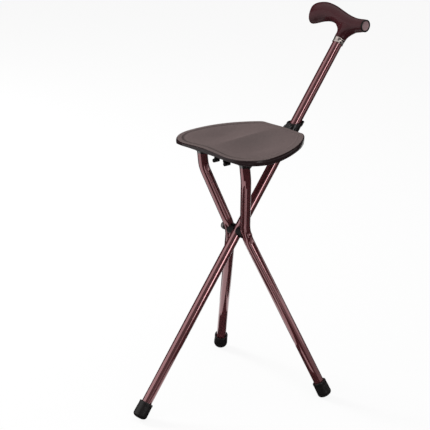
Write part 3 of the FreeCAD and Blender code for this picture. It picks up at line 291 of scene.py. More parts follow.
def moulding(name, colour, gloss, rough_low, rough_high, grain_scale=1400.0, relief=0.0001):
    """A moulded black finish: cloudy colour, a fine grain and low gloss."""
    material, tree, shader = start_material(name)
    place = object_coordinates(tree)
    cloud = noise(tree, place, 70.0, 4.0)
    grain = noise(tree, place, grain_scale, 3.0, 0.6)
    base = blend_colours(tree, cloud, tone(colour, 0.8), tone(colour, 1.25))
    tree.links.new(base, shader.inputs["Base Color"])
    shader.inputs["Specular IOR Level"].default_value = gloss
    tree.links.new(ramp(tree, grain, rough_low, rough_high), shader.inputs["Roughness"])
    bump(tree, shader, grain, 0.35, relief)
    return material


def satin(name, colour, rough_low=0.22, rough_high=0.34):
    """Turned bright metal with fine rings of brushing along the cane."""
    material, tree, shader = start_material(name)
    place = object_coordinates(tree)
    cloud = noise(tree, place, 120.0, 3.0)
    along_cane = object_coordinates(tree, (150.0, 150.0, 2600.0), (0.0, LEAN, 0.0))
    brush = noise(tree, along_cane, 1.0, 3.0)
    base = blend_colours(tree, cloud, tone(colour, 0.88), tone(colour, 1.08))
    tree.links.new(base, shader.inputs["Base Color"])
    shader.inputs["Metallic"].default_value = 1.0
    tree.links.new(ramp(tree, brush, rough_low, rough_high), shader.inputs["Roughness"])
    bump(tree, shader, brush, 0.12, 0.0001)
    return material


def disc_finish(colour):
    """Satin disc in the nose: dull metallic colour with a fine grain."""
    material, tree, shader = start_material("disc_satin")
    place = object_coordinates(tree)
    cloud = noise(tree, place, 260.0, 4.0)
    base = blend_colours(tree, cloud, tone(colour, 0.82), tone(colour, 1.15))
    tree.links.new(base, shader.inputs["Base Color"])
    shader.inputs["Metallic"].default_value = 0.35
    tree.links.new(ramp(tree, cloud, 0.35, 0.5), shader.inputs["Roughness"])
    bump(tree, shader, noise(tree, place, 1500.0, 2.0), 0.2, 0.0001)
    return material


def seat_grain(colour):
    """Seat top: taupe moulding with a fine leather-like grain and soft cloud. The attribute
    inset is the way in from the outline in millimetres; it draws the step round the hollowed
    top as relief, and a band of painted shade that darkens the colour along that step."""
    material, tree, shader = start_material("seat_grain")
    place = object_coordinates(tree)
    cloud = noise(tree, place, 24.0, 3.0)
    speck = noise(tree, place, 460.0, 3.0, 0.7)
    base = blend_colours(tree, cloud, tone(colour, 0.94), tone(colour, 1.06))
    fine = blend_colours(tree, ramp(tree, speck, 0.0, 1.0, 0.3, 0.7), tone(colour, 0.62),
                         tone(colour, 1.38))
    mixed = tree.nodes.new("ShaderNodeMix")
    mixed.data_type = "RGBA"
    mixed.inputs["Factor"].default_value = 0.5
    tree.links.new(base, mixed.inputs[6])
    tree.links.new(fine, mixed.inputs[7])
    inset = tree.nodes.new("ShaderNodeAttribute")
    inset.attribute_name = "inset"
    step = ramp(tree, inset.outputs["Fac"], 1.0, 0.0, 8.5, 15.0)
    tree.nodes[-1].interpolation_type = "SMOOTHSTEP"
    # Painted shade: from 9 to 13 mm in from the outline the colour is darkened, most in the middle
    # of that band, along the step round the hollowed top.
    shade = ramp(tree, inset.outputs["Fac"], 1.0, 0.0, 9.0, 13.0)
    painted_rim_shade = tree.nodes.new("ShaderNodeMath")
    painted_rim_shade.operation = "PINGPONG"
    painted_rim_shade.inputs[1].default_value = 0.5
    tree.links.new(shade, painted_rim_shade.inputs[0])
    colour_with_painted_shade = blend_colours(tree, painted_rim_shade.outputs[0], mixed.outputs[2], tone(colour, 0.45))
    tree.links.new(colour_with_painted_shade, shader.inputs["Base Color"])
    shader.inputs["Specular IOR Level"].default_value = 0.3
    tree.links.new(ramp(tree, speck, 0.5, 0.7), shader.inputs["Roughness"])
    fine_relief = tree.nodes.new("ShaderNodeBump")
    fine_relief.inputs["Strength"].default_value = 0.35
    fine_relief.inputs["Distance"].default_value = 0.0003
    tree.links.new(speck, fine_relief.inputs["Height"])
    rim_relief = tree.nodes.new("ShaderNodeBump")
    rim_relief.inputs["Strength"].default_value = 1.0
    rim_relief.inputs["Distance"].default_value = 0.003
    tree.links.new(step, rim_relief.inputs["Height"])
    tree.links.new(fine_relief.outputs[0], rim_relief.inputs["Normal"])
    tree.links.new(rim_relief.outputs[0], shader.inputs["Normal"])
    return material


def seat_gloss_and_painted_shade(colour):
    """Seat edge and underside: the same moulding left smooth and glossy; its dark colour is painted
    shade of the edge and the underside.
    """
    material, tree, shader = start_material("seat_band_gloss_painted_shade")
    place = object_coordinates(tree)
    cloud = noise(tree, place, 60.0, 4.0)
    base = blend_colours(tree, cloud, tone(colour, 0.85), tone(colour, 1.15))
    tree.links.new(base, shader.inputs["Base Color"])
    shader.inputs["Specular IOR Level"].default_value = 0.22
    tree.links.new(ramp(tree, cloud, 0.18, 0.26), shader.inputs["Roughness"])
    bump(tree, shader, noise(tree, place, 500.0, 2.0), 0.08, 0.0001)
    return material


def give(names, material):
    """Puts one material on the named pieces of the frame."""
    for name in names:
        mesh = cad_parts[name].data
        mesh.materials.clear()
        mesh.materials.append(material)


LEG_TUBES = ("left_leg_tube", "right_leg_tube")
SLIDER = ("slider_collar", "stop_collar")
BLACK = ("left_leg_lug", "right_leg_lug", "shaft_clip",
         "left_top_plug", "right_top_plug", "left_cane_saddle", "right_cane_saddle",
         "left_leg_saddle", "right_leg_saddle", "left_outer_saddle", "right_outer_saddle")
STEEL = ("stop_collar_screw", "hub_cap_nut", "rear_hinge_pin", "left_top_pin",
         "right_top_pin", "lug_screws", "left_hub_bush", "right_hub_bush",
         "main_tip_washer", "left_tip_washer", "right_tip_washer")
RUBBER = ("main_tip", "left_tip", "right_tip")


def colour_setting(name, description, default):
    """A colour that the sidebar offers."""
    return bpy.props.FloatVectorProperty(name=name, description=description, subtype="COLOR",
                                         size=3, default=default, min=0.0, max=1.0)


def size_setting(name, description, default):
    """A length in metres that the sidebar offers."""
    return bpy.props.FloatProperty(name=name, description=description, unit="LENGTH",
                                   default=default, min=0.0, precision=5)


class STICKSEAT_PG_sizes(bpy.types.PropertyGroup):
    """Sizes of the new surfaces and the studio."""
    seat_front: size_setting("Seat front", "Reach of the seat ahead of the hub", 0.090)
    seat_rear: size_setting("Seat rear", "Reach of the seat behind the hub", 0.108)
    seat_half: size_setting("Seat half width", "Reach of the seat to each side", 0.113)
    seat_level: size_setting("Seat level", "Height of the seat's rim above the hub", 0.1796)
    seat_lift: size_setting("Seat skin", "Height of the seat's skin over its shell", 0.00045)
    nose_reach: size_setting("Nose reach", "Place of the nose disc to the side", 0.0436)
    nose_rise: size_setting("Nose rise", "Height of the nose disc above the hub", 0.4479)
    grip_cell: size_setting("Grip detail", "Size of the cells that blend grip and neck", 0.001)
    black_from: size_setting("Black leg ends", "Level above which the legs are black", 0.459)
    tip_gap: size_setting("Tip gap", "Gap between the tips and the floor", 0.00003)
    card_drum: size_setting("Card drum", "Radius of the drum that holds the studio's cards", 2.5)


class STICKSEAT_PG_colours(bpy.types.PropertyGroup):
    """Colours of the finishes."""
    enamel: colour_setting("Tube enamel", "Base colour of the tubes", (0.20, 0.046, 0.054))
    handle: colour_setting("Handle", "Colour of the handle", (0.040, 0.0080, 0.0108))
    disc: colour_setting("Nose disc", "Colour of the disc in the nose", (0.38, 0.25, 0.26))
    ferrule: colour_setting("Ferrule", "Colour of the ring below the handle", (0.50, 0.43, 0.40))
    seat: colour_setting("Seat top", "Colour of the seat's grained top", (0.124, 0.092, 0.089))
    # The seat edge colour is dark as painted shade of the edge and the underside; the gloss is
    # real.
    seat_band_painted_shade: colour_setting("Seat edge", "Colour of the glossy edge", (0.019, 0.010, 0.011))
    black: colour_setting("Black plastic", "Colour of the black mouldings", (0.008, 0.007, 0.007))
    rubber: colour_setting("Rubber", "Colour of the rubber tips", (0.010, 0.008, 0.008))
    steel: colour_setting("Dark steel", "Colour of pins and screws", (0.16, 0.15, 0.15))


class STICKSEAT_OT_finishes(bpy.types.Operator):
    """Gives every carried-over piece its finish."""
    bl_idname = "stickseat.finishes"
    bl_label = "Finishes"

    def execute(self, context):
        colours = context.scene.stickseat_colours
        give(("main_tube",), enamel(colours.enamel))
        black_from = context.scene.stickseat_sizes.black_from
        give(LEG_TUBES, enamel(colours.enamel, "leg_enamel", black_from))
        give(("handle_grip",), lacquer(colours.handle))
        give(("handle_end_disc",), disc_finish(colours.disc))
        give(("ferrule_ring",), satin("ferrule_carried", colours.ferrule))
        # The shell's edge and underside take the dark seat edge colour as painted shade.
        give(("seat_shell",), seat_gloss_and_painted_shade(colours.seat_band_painted_shade))
        give(BLACK, moulding("black_plastic", colours.black, 0.07, 0.3, 0.45))
        give(SLIDER, moulding("slider_gloss", colours.black, 0.35, 0.16, 0.26, 500.0, 0.00005))
        give(("hub_bolt",), enamel(colours.enamel))
        give(STEEL, satin("dark_steel", colours.steel, 0.3, 0.42))
        give(RUBBER, moulding("rubber_carried", colours.rubber, 0.2, 0.42, 0.6))
        return {"FINISHED"}


# Handle: each row is side, middle above the hub, half height and half width, in millimetres
GRIP = ((-101.0, 448.0, 12.0, 8.5), (-100.3, 448.2, 15.6, 10.8), (-98.6, 448.6, 18.4, 12.6),
        (-95.5, 449.5, 20.4, 13.6), (-90.0, 451.2, 21.9, 14.2), (-80.0, 454.0, 22.1, 14.5),
        (-70.0, 457.0, 20.3, 14.6), (-60.0, 458.4, 18.2, 14.6), (-50.0, 458.6, 16.4, 14.5),
        (-40.0, 457.3, 15.4, 14.2), (-30.0, 454.6, 15.1, 13.9), (-20.0, 451.6, 15.1, 13.6),
        (-8.0, 448.2, 15.0, 13.3), (8.0, 445.4, 14.3, 12.9), (20.0, 444.6, 13.7, 12.4),
        (32.0, 446.2, 12.6, 12.0), (40.0, 447.7, 11.8, 11.7), (42.4, 447.9, 11.6, 11.6))
# Neck: each row is height above the hub, shift to the nose, half length and half width
NECK = ((411.3, 0.0, 11.3, 11.3), (416.0, 0.2, 11.3, 11.3), (420.5, 1.2, 12.2, 11.6),
        (427.0, 2.6, 16.8, 12.2), (430.0, 3.4, 20.0, 12.4), (433.5, 4.0, 25.0, 12.4),
        (438.0, 4.5, 31.0, 12.0), (443.0, 5.0, 34.0, 10.0))


def grip_points(rings=110, spokes=72):
    """The palm grip: at each place along the side axis an oval whose middle, height and
    width follow smooth curves, and whose outline is a little squarer than an ellipse."""
    rows = np.array(GRIP)
    share = np.linspace(0.0, 1.0, rings)
    side = rows[0, 0] + (rows[-1, 0] - rows[0, 0]) * (share ** 1.6 * 0.6 + share * 0.4)
    middle, tall, wide = (smooth_curve(rows[:, 0], rows[:, k], side)[:, None] for k in (1, 2, 3))
    turn = np.linspace(0, 2 * math.pi, spokes, endpoint=False)
    cos, sin = np.cos(turn), np.sin(turn)
    square = (np.abs(cos) ** 2.25 + np.abs(sin) ** 2.25) ** (-1 / 2.25)
    lean = 4.6 * np.clip((-80.0 - side[:, None]) / 21.0, 0.0, 1.0) ** 2
    return on_cane(wide * cos * square, side[:, None] + lean * (1.2 - sin * square),
                   middle + tall * sin * square)


def neck_points(rings=40, spokes=72):
    """The neck: level ovals that widen along the grip as they rise into it."""
    rows = np.array(NECK)
    rise = np.linspace(rows[0, 0], rows[-1, 0], rings)
    shift, long, wide = (smooth_curve(rows[:, 0], rows[:, k], rise)[:, None] for k in (1, 2, 3))
    turn = np.linspace(0, 2 * math.pi, spokes, endpoint=False)
    return on_cane(wide * np.cos(turn), shift + long * np.sin(turn), rise[:, None])


class STICKSEAT_OT_handle(bpy.types.Operator):
    """Makes the palm grip with its neck, and the ring and disc in its nose."""
    bl_idname = "stickseat.handle"
    bl_label = "Handle"

    def execute(self, context):
        colours = context.scene.stickseat_colours
        sizes = context.scene.stickseat_sizes
        finish = lacquer(colours.handle)
        points, quads, triangles = closed_surface(grip_points())
        more, more_quads, more_triangles = closed_surface(neck_points())
        rough = piece_from("handle_rough", np.concatenate([points, more]),
                           np.concatenate([quads, more_quads + len(points)]),
                           np.concatenate([triangles, more_triangles + len(points)]),
                           "shaft", [finish])
        remesh = rough.modifiers.new("blend", "REMESH")
        remesh.mode = "VOXEL"
        remesh.voxel_size = sizes.grip_cell
        remesh.use_smooth_shade = True
        soften = rough.modifiers.new("soften", "SMOOTH")
        soften.factor = 0.6
        soften.iterations = 14
        view = context.evaluated_depsgraph_get()
        mesh = bpy.data.meshes.new_from_object(rough.evaluated_get(view))
        mesh.name = "handle_body"
        bpy.data.objects.remove(rough)
        piece = bpy.data.objects.new("handle_body", mesh)
        context.scene.collection.objects.link(piece)
        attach(piece, "shaft")
        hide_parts("handle_grip")
        nose = HUB + sizes.nose_reach * CANE_SIDE + sizes.nose_rise * CANE_UP
        # The nose ring's shape is real; its black colour is painted shade, standing for the shade
        # in the groove round the nose disc.
        black = moulding("nose_ring_painted_groove_shade", colours.black, 0.25, 0.3, 0.4)
        ring = turned("nose_ring", ((0.5, -6.0), (10.9, -6.0), (11.75, -0.9), (11.95, -0.2),
                                    (11.8, 0.35), (11.2, 0.75), (10.4, 0.75), (9.7, 0.35),
                                    (9.3, 0.0), (9.2, -0.5), (0.5, -0.5)),
                      nose, CANE_SIDE, "shaft", [black], crisp=(1, 9))
        pink = disc_finish(colours.disc)
        disc = turned("nose_disc", ((0.5, -2.0), (9.0, -2.0), (9.1, -0.35), (8.9, -0.1),
                                    (8.2, 0.05), (7.9, 0.0), (7.6, -0.15), (5.0, -0.05),
                                    (0.5, 0.0)),
                      nose, CANE_SIDE, "shaft", [pink], ("handle_end_disc",), crisp=(1,))
        return {"FINISHED"}


class STICKSEAT_OT_ferrule(bpy.types.Operator):
    """Makes the satin ring below the handle."""
    bl_idname = "stickseat.ferrule"
    bl_label = "Ferrule"

    def execute(self, context):
        profile = ((9.52, 400.6), (10.5, 400.6), (10.9, 400.9), (11.0, 401.5), (10.9, 402.1),
                   (10.6, 402.5), (10.6, 408.6), (10.9, 409.0), (11.05, 409.6), (11.05, 411.0),
                   (10.8, 411.4), (9.52, 411.4))
        ring = turned("ferrule_band", profile, HUB, CANE_UP, "shaft",
                      [satin("ferrule_satin", context.scene.stickseat_colours.ferrule)],
                      ("ferrule_ring",), hollow=True)
        return {"FINISHED"}


# Seat: its functions work in millimetres from the hub and the level of its rim
def seat_outline(front_reach, rear_reach, half_width, count=480):
    """The seat's outline: straight front and rear, wide round front corners, slowly curved
    sides and small rear corners, as points at even steps with their outward directions."""
    corner, side, rear_corner = 63.0, 185.0, 14.0
    bend = front_reach - corner
    side_middle = half_width - side
    inner = math.sqrt((side - rear_corner) ** 2 - (bend + rear_reach - rear_corner) ** 2)
    join = math.atan2(inner, -rear_reach + rear_corner - bend)
    front = np.stack([np.full(60, front_reach), np.linspace(0.0, half_width - corner, 60)], 1)
    turn = np.linspace(0.0, math.pi / 2, 160)
    first = np.stack([bend + corner * np.cos(turn), half_width - corner + corner * np.sin(turn)], 1)
    turn = np.linspace(math.pi / 2, join, 220)
    second = np.stack([bend + side * np.cos(turn), side_middle + side * np.sin(turn)], 1)
    turn = np.linspace(join, math.pi, 60)
    third = np.stack([-rear_reach + rear_corner + rear_corner * np.cos(turn),
                      side_middle + inner + rear_corner * np.sin(turn)], 1)
    rear = np.stack([np.full(90, -rear_reach), np.linspace(side_middle + inner, 0.0, 90)], 1)
    half = np.concatenate([front, first[1:], second[1:], third[1:], rear[1:]])
    length = np.concatenate([[0.0], np.cumsum(np.hypot(*np.diff(half, axis=0).T))])
    wanted = np.linspace(0.0, length[-1], count // 2 + 1)
    near = np.stack([np.interp(wanted, length, half[:, k]) for k in (0, 1)], 1)
    whole = np.concatenate([near, near[-2:0:-1] * (1.0, -1.0)])
    along = np.roll(whole, -1, axis=0) - np.roll(whole, 1, axis=0)
    along /= np.linalg.norm(along, axis=1, keepdims=True)
    return whole, np.stack([along[:, 1], -along[:, 0]], 1)


def seat_top(forward, side, front_reach, rear_reach):
    """Height of the seat's top: it falls to the front corners, with two thigh hollows that
    meet in a ridge, a crown at the rear and a rolled front edge."""
    share = np.clip((forward + rear_reach) / (front_reach + rear_reach), 0.0, 1.0)
    fall = 4.5 * share + 4.2 * share * (np.abs(side) / 80.0) ** 1.5
    across = (np.abs(side) / 50.0) ** 1.3
    hollow = across * np.exp(1 - across)
    past = np.clip(np.abs(side) - 50.0, 0.0, None) / 34.0
    hollow *= np.exp(-past ** 2) * np.exp(-((forward + 5.0) / 55.0) ** 2)
    crown = np.exp(-(side / 26.0) ** 2) * np.exp(-((forward + 50.0) / 55.0) ** 2)
    roll = np.clip((forward - front_reach) / 40.0 + 1.0, 0.0, None) ** 2
    return 2.2 * crown - 8.0 * hollow - fall - 1.3 * roll


def skirt_foot(forward, side, rear_reach):
    """Height of the skirt's lower edge: deeper at the sides and front corners, and cut
    away behind for the slider's arm."""
    share = np.clip((forward + 60.0) / 90.0, 0.0, 1.0)
    share = share * share * (3 - 2 * share)
    low = -13.0 - 5.5 * share * np.clip(np.abs(side) / 90.0, 0.0, 1.0) ** 4
    window = (forward < -rear_reach + 6.0) & (np.abs(side) < 14.2)
    return np.where(window, -4.5, low)


# Inset of the crease round the top, thickness of the skin, and inset and depth share of the
# place where the edge's inner side ends
CREASE_INSET, SKIN_WALL, TUCK_INSET, TUCK_SHARE = 1.3, 1.6, 1.9, 0.72


class STICKSEAT_OT_seat(bpy.types.Operator):
    """Makes the seat's grained top and its glossy rolled edge as one closed skin."""
    bl_idname = "stickseat.seat"
    bl_label = "Seat"

    def execute(self, context):
        colours = context.scene.stickseat_colours
        sizes = context.scene.stickseat_sizes
        front, rear = sizes.seat_front / MM, sizes.seat_rear / MM
        edge, outward = seat_outline(front, rear, sizes.seat_half / MM)
        middle = np.array((2.0, 0.0))
        share = np.linspace(0.004, 1.0, 64)[:, None, None]
        crease_line = edge - CREASE_INSET * outward
        flat = middle + share * (crease_line - middle)
        level = seat_top(flat[..., 0], flat[..., 1], front, rear) + sizes.seat_lift / MM
        top = np.concatenate([flat, level[..., None]], -1)
        crease = top[-1, :, 2]
        foot = skirt_foot(edge[:, 0], edge[:, 1], rear) - 0.4
        # inset from the outline and share of the way from the crease to the skirt's foot
        roll = np.array(((1.05, 0.035), (0.35, 0.10), (-0.25, 0.20), (-0.55, 0.34), (-0.6, 0.50),
                         (-0.5, 0.68), (-0.15, 0.84), (0.3, 0.94), (1.0, 0.99), (2.0, 1.0),
                         (3.3, 0.99), (3.9, 0.90), (3.7, 0.78)))
        band_flat = edge - roll[:, 0, None, None] * outward
        band_level = crease + roll[:, 1, None] * (foot - crease)
        band = np.concatenate([band_flat, band_level[..., None]], -1)
        tuck = edge - TUCK_INSET * outward
        tuck_level = crease + TUCK_SHARE * (foot - crease)
        inner = [np.concatenate([tuck, tuck_level[:, None]], 1)[None],
                 np.concatenate([tuck, (crease - SKIN_WALL)[:, None]], 1)[None]]
        under_flat = middle + share[::-3] * (tuck - middle)
        under_level = seat_top(under_flat[..., 0], under_flat[..., 1], front, rear) - SKIN_WALL
        under = np.concatenate([under_flat, under_level[..., None]], -1)
        rings = np.concatenate([top, band] + inner + [under])
        rings = MM * rings + HUB + np.array((0.0, 0.0, sizes.seat_level))
        grain = seat_grain(colours.seat)
        # The skin's edge, its inner side and its underside take the glossy finish, whose dark
        # colour is painted shade.
        gloss = seat_gloss_and_painted_shade(colours.seat_band_painted_shade)
        piece = piece_from("seat_skin", *closed_surface(rings), "seat", [grain, gloss])
        mesh = piece.data
        count = len(edge)
        crisp_rings(mesh, count, (len(top) - 1,))
        reach = np.linalg.norm(crease_line - middle, axis=1)
        inset = np.zeros(len(mesh.vertices), np.float32)
        inset[:len(top) * count] = ((1.0 - share[:, :, 0]) * reach + CREASE_INSET).ravel()
        mesh.attributes.new("inset", "FLOAT", "POINT").data.foreach_set("value", inset)
        faces = np.arange(len(mesh.polygons))
        mesh.polygons.foreach_set("material_index",
                                  ((faces >= (len(top) - 1) * count)
                                   & (faces < (len(rings) - 1) * count)).astype(np.int32))
        return {"FINISHED"}


class STICKSEAT_OT_hub(bpy.types.Operator):
    """Makes the hub bolt with its low round head, and the washer under that head."""
    bl_idname = "stickseat.hub"
    bl_label = "Hub"

    def execute(self, context):
        colours = context.scene.stickseat_colours
        bolt = ((0.5, -37.5), (2.95, -37.5), (2.95, 30.9), (5.3, 30.9), (5.6, 31.3), (5.5, 32.3),
                (4.9, 33.6), (3.8, 34.6), (2.2, 35.2), (0.5, 35.4))
        piece = turned("hub_bolt_turned", bolt, HUB, CANE_SIDE, "shaft", [enamel(colours.enamel)],
                       ("hub_bolt",), crisp=(1, 2, 3))
        washer = ((3.1, 28.4), (6.2, 28.4), (6.5, 28.8), (6.5, 30.3), (6.1, 30.85), (3.1, 30.85))
        piece = turned("hub_head_washer", washer, HUB, CANE_SIDE, "left_leg",
                       [moulding("hub_black", colours.black, 0.07, 0.3, 0.45)],
                       ("left_outer_saddle",), hollow=True)
        return {"FINISHED"}


# Tips: outside radius and height above the middle of the foot, in millimetres
TIP = ((0.5, -0.9), (4.0, -0.75), (7.0, -0.3), (9.2, 0.5), (11.2, 1.7), (12.6, 3.4), (13.2, 5.2),
       (13.35, 7.0), (13.3, 10.0), (13.15, 16.0), (12.95, 23.0), (12.85, 25.4), (13.0, 26.2),
       (13.15, 27.4), (13.1, 29.4), (12.8, 30.3), (12.1, 30.8), (10.6, 30.7), (9.75, 30.0),
       (9.56, 28.6), (9.56, 6.0), (0.5, 6.0))
LEG_TIPS = (("left_tip", "left_leg", 1.0), ("right_tip", "right_leg", -1.0))


class STICKSEAT_OT_tips(bpy.types.Operator):
    """Makes the three rubber tips with their domed feet, thick rims and treads."""
    bl_idname = "stickseat.tips"
    bl_label = "Tips"

    def execute(self, context):
        gap = context.scene.stickseat_sizes.tip_gap / MM
        rubber = moulding("black_rubber", context.scene.stickseat_colours.rubber, 0.28, 0.3, 0.45)
        foot = HUB - CANE_FOOT * CANE_UP
        profile = lift_tip(TIP, CANE_UP, foot, gap)
        piece = turned("main_tip_rubber", profile, foot, CANE_UP, "shaft", [rubber], ("main_tip",))
        for node, body, side in LEG_TIPS:
            foot = np.array((HUB[0] - LEG_FOOT_BACK, side * LEG_FOOT_SIDE, 0.0))
            bend = np.array((HUB[0], side * LEG_BEND_SIDE, HUB[2]))
            axis = (bend - foot) / np.linalg.norm(bend - foot)
            profile = lift_tip(TIP, axis, foot, gap)
            piece = turned(node + "_rubber", profile, foot, axis, body, [rubber], (node,))
        return {"FINISHED"}


def lift_tip(profile, axis, foot, gap):
    """The tip's profile moved along its axis until its lowest point just meets the floor."""
    rows = np.array(profile)
    upright = axis[2]
    lean = math.sqrt(max(0.0, 1.0 - upright ** 2))
    lowest = (foot[2] / MM + rows[:, 1] * upright - rows[:, 0] * lean).min()
    rows[:, 1] += (gap - lowest) / upright
    return rows


def area_lamp(name, place, aim, wide, tall, power):
    """A soft rectangular lamp at a place, turned to its aim."""
    data = bpy.data.lights.new(name, "AREA")
    data.shape = "RECTANGLE"
    data.size = wide
    data.size_y = tall
    data.energy = power
    lamp = bpy.data.objects.new(name, data)
    bpy.context.collection.objects.link(lamp)
    lamp.location = place
    lamp.rotation_euler = (Vector(aim) - Vector(place)).to_track_quat("-Z", "Y").to_euler()
    lamp.visible_glossy = False
    return lamp


FLOOR_CARD_GLOW, FLOOR_CARD_LEVEL = 0.03, 0.0005
CARD_STEPS = 48


def reflector(name, start, end, radius, low, high, strength):
    """A curved studio card seen only in reflections: an upright strip of a drum round the
    object between two directions in degrees, with a given brightness."""
    turn = np.radians(np.linspace(start, end, CARD_STEPS))
    ring = np.stack([radius * np.cos(turn), radius * np.sin(turn)], 1)
    points = np.concatenate([np.c_[ring, np.full(CARD_STEPS, level)] for level in (low, high)])
    here = np.arange(CARD_STEPS - 1)
    faces = np.stack([here + 1, here, here + CARD_STEPS, here + CARD_STEPS + 1], -1)
    mesh = bpy.data.meshes.new(name)
    mesh.from_pydata(points.tolist(), [], faces.tolist())
    card = bpy.data.objects.new(name, mesh)
    bpy.context.scene.collection.objects.link(card)
    card.visible_camera = False
    card.visible_diffuse = False
    card.visible_shadow = False
    card.visible_transmission = False
    material = bpy.data.materials.new(name)
    tree, output = empty_tree(material, "ShaderNodeOutputMaterial")
    glow = tree.nodes.new("ShaderNodeEmission")
    glow.inputs["Strength"].default_value = strength
    tree.links.new(glow.outputs[0], output.inputs[0])
    mesh.materials.append(material)
    return card


def floor_card(name, start, end, near, far):
    """A dark flat card on the floor seen only in reflections: part of a ring round the object."""
    card = reflector(name, start, end, 1.0, 0.0, 1.0, FLOOR_CARD_GLOW)
    points = np.empty(len(card.data.vertices) * 3, np.float32)
    card.data.vertices.foreach_get("co", points)
    points = points.reshape(-1, 3)
    points[:, :2] *= near + (far - near) * points[:, 2:]
    points[:, 2] = FLOOR_CARD_LEVEL
    card.data.vertices.foreach_set("co", points.ravel())


def white_for_the_eye(tree, share):
    """A share of white for camera, mirror and glass rays, and none for all other rays."""
    path = tree.nodes.new("ShaderNodeLightPath")
    first, second, scaled = (tree.nodes.new("ShaderNodeMath") for step in range(3))
    first.operation = second.operation = "MAXIMUM"
    scaled.operation = "MULTIPLY"
    scaled.inputs[1].default_value = share
    tree.links.new(path.outputs["Is Camera Ray"], first.inputs[0])
    tree.links.new(path.outputs["Is Glossy Ray"], first.inputs[1])
    tree.links.new(first.outputs[0], second.inputs[0])
    tree.links.new(path.outputs["Is Transmission Ray"], second.inputs[1])
    tree.links.new(second.outputs[0], scaled.inputs[0])
    return scaled.outputs[0]


# Cards round the studio: name, start and end direction in degrees, foot, top, brightness
WALL_CARDS = (("soft", -60.0, 8.0, 0.0, 2.6, 1.3), ("dim", 36.0, 78.0, 0.6, 5.0, 0.16),
              ("deep", 8.0, 36.0, 0.0, 5.0, 0.20),
              ("strip", 79.0, 87.0, 0.5, 2.6, 6.0), ("black", 88.0, 300.0, 0.7, 2.6, 0.02),
              ("low", 60.0, 170.0, 0.0, 0.5, 0.35), ("low_back", 170.0, 300.0, 0.0, 0.7, 0.03),
              ("low_side", 36.0, 60.0, 0.0, 0.6, 0.03))
# Cards on the floor: name, start and end direction in degrees, nearest and furthest reach
FLOOR_CARDS = (("a", 42.0, 54.0, 0.01, 1.1), ("b", 54.0, 76.0, 0.01, 0.16),
               ("c", 54.0, 76.0, 0.30, 1.1), ("d", 62.0, 198.0, 1.1, 2.5),
               ("e", 76.0, 198.0, 0.01, 1.1), ("f", -50.0, 22.0, 0.20, 0.40),
               ("g", -150.0, -88.0, 0.01, 0.2), ("h", -150.0, -60.0, 0.4, 2.5),
               ("i", 4.0, 42.0, 0.6, 1.5))


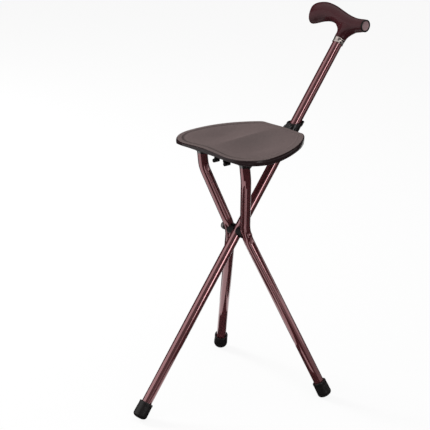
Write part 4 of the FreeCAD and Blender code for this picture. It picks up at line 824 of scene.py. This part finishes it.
class STICKSEAT_OT_stage(bpy.types.Operator):
    """Makes the floor, the world, the lamps and the camera."""
    bl_idname = "stickseat.stage"
    bl_label = "Stage"

    def execute(self, context):
        scene = context.scene
        half, under = 12.0, -0.0004
        mesh = bpy.data.meshes.new("floor")
        corners = [(-half, -half), (half, -half), (half, half), (-half, half)]
        mesh.from_pydata([(x, y, under) for x, y in corners], [], [(0, 1, 2, 3)])
        floor = bpy.data.objects.new("floor", mesh)
        scene.collection.objects.link(floor)
        material = bpy.data.materials.new("floor_white")
        tree, output = empty_tree(material, "ShaderNodeOutputMaterial")
        diffuse = tree.nodes.new("ShaderNodeBsdfDiffuse")
        diffuse.inputs["Color"].default_value = (0.88, 0.88, 0.88, 1)
        glow = tree.nodes.new("ShaderNodeEmission")
        glow.inputs["Strength"].default_value = 1.0
        mix = tree.nodes.new("ShaderNodeMixShader")
        tree.links.new(white_for_the_eye(tree, 0.9), mix.inputs[0])
        tree.links.new(diffuse.outputs[0], mix.inputs[1])
        tree.links.new(glow.outputs[0], mix.inputs[2])
        tree.links.new(mix.outputs[0], output.inputs[0])
        mesh.materials.append(material)

        world = bpy.data.worlds.new("studio")
        scene.world = world
        tree, output = empty_tree(world, "ShaderNodeOutputWorld")
        soft = tree.nodes.new("ShaderNodeBackground")
        soft.inputs["Strength"].default_value = 0.38
        white = tree.nodes.new("ShaderNodeBackground")
        white.inputs["Color"].default_value = (1, 1, 1, 1)
        white.inputs["Strength"].default_value = 1.0
        soft.inputs["Color"].default_value = (1, 1, 1, 1)
        mix = tree.nodes.new("ShaderNodeMixShader")
        tree.links.new(white_for_the_eye(tree, 1.0), mix.inputs[0])
        tree.links.new(soft.outputs[0], mix.inputs[1])
        tree.links.new(white.outputs[0], mix.inputs[2])
        tree.links.new(mix.outputs[0], output.inputs[0])

        data = bpy.data.cameras.new("photo_camera")
        data.sensor_width = SENSOR_WIDTH
        data.lens = FOCAL_PIXELS * SENSOR_WIDTH / PHOTO_PIXELS
        data.shift_x = (PHOTO_PIXELS / 2 - PHOTO_MIDDLE[0]) / PHOTO_PIXELS
        data.shift_y = (PHOTO_MIDDLE[1] - PHOTO_PIXELS / 2) / PHOTO_PIXELS
        data.clip_end = 60.0
        camera = bpy.data.objects.new("photo_camera", data)
        scene.collection.objects.link(camera)
        right, up, ahead = Vector(CAMERA_RIGHT), Vector(CAMERA_UP), Vector(CAMERA_AHEAD)
        eye = Vector(CAMERA_EYE)
        turn = Matrix((right, up, -ahead)).transposed().to_4x4()
        camera.matrix_world = Matrix.Translation(eye) @ turn
        scene.camera = camera

        drum = scene.stickseat_sizes.card_drum
        for card in WALL_CARDS:
            reflector("card_" + card[0], card[1], card[2], drum, *card[3:])
        for card in FLOOR_CARDS:
            floor_card("card_floor_" + card[0], *card[1:])
        middle = (0.0, 0.0, 0.35)
        area_lamp("key_lamp", (0.75, -2.5, 1.5), (0.0, 0.0, 0.45), 0.9, 1.2, 84.0)
        area_lamp("fill_lamp", tuple(eye + right * 1.2 + up * 0.6), middle, 1.2, 1.6, 14.0)
        area_lamp("top_lamp", (0.2, 0.1, 2.6), middle, 1.8, 1.8, 12.0)
        scene.view_settings.view_transform = "Standard"
        return {"FINISHED"}


class STICKSEAT_PT_panel(bpy.types.Panel):
    """Lists the sizes, the colours and the pieces in the sidebar."""
    bl_idname = "STICKSEAT_PT_panel"
    bl_label = "Walking stick seat"
    bl_space_type = "VIEW_3D"
    bl_region_type = "UI"
    bl_category = "Stick Seat"

    def draw(self, context):
        layout = self.layout
        for group in (context.scene.stickseat_sizes, context.scene.stickseat_colours):
            for name in group.bl_rna.properties.keys():
                if name not in ("rna_type", "name"):
                    layout.prop(group, name)
        for operator in OPERATORS:
            layout.operator(operator.bl_idname)


OPERATORS = (STICKSEAT_OT_finishes, STICKSEAT_OT_handle, STICKSEAT_OT_ferrule, STICKSEAT_OT_seat,
             STICKSEAT_OT_hub, STICKSEAT_OT_tips, STICKSEAT_OT_stage)
CLASSES = (STICKSEAT_PG_sizes, STICKSEAT_PG_colours) + OPERATORS + (STICKSEAT_PT_panel,)


def register():
    for item in CLASSES:
        bpy.utils.register_class(item)
    bpy.types.Scene.stickseat_sizes = bpy.props.PointerProperty(type=STICKSEAT_PG_sizes)
    bpy.types.Scene.stickseat_colours = bpy.props.PointerProperty(type=STICKSEAT_PG_colours)


def unregister():
    del bpy.types.Scene.stickseat_colours
    del bpy.types.Scene.stickseat_sizes
    for item in reversed(CLASSES):
        bpy.utils.unregister_class(item)


def main():
    register()
    bpy.ops.stickseat.finishes()
    bpy.ops.stickseat.handle()
    bpy.ops.stickseat.ferrule()
    bpy.ops.stickseat.seat()
    bpy.ops.stickseat.hub()
    bpy.ops.stickseat.tips()
    bpy.ops.stickseat.stage()


if __name__ == "__main__":
    main()
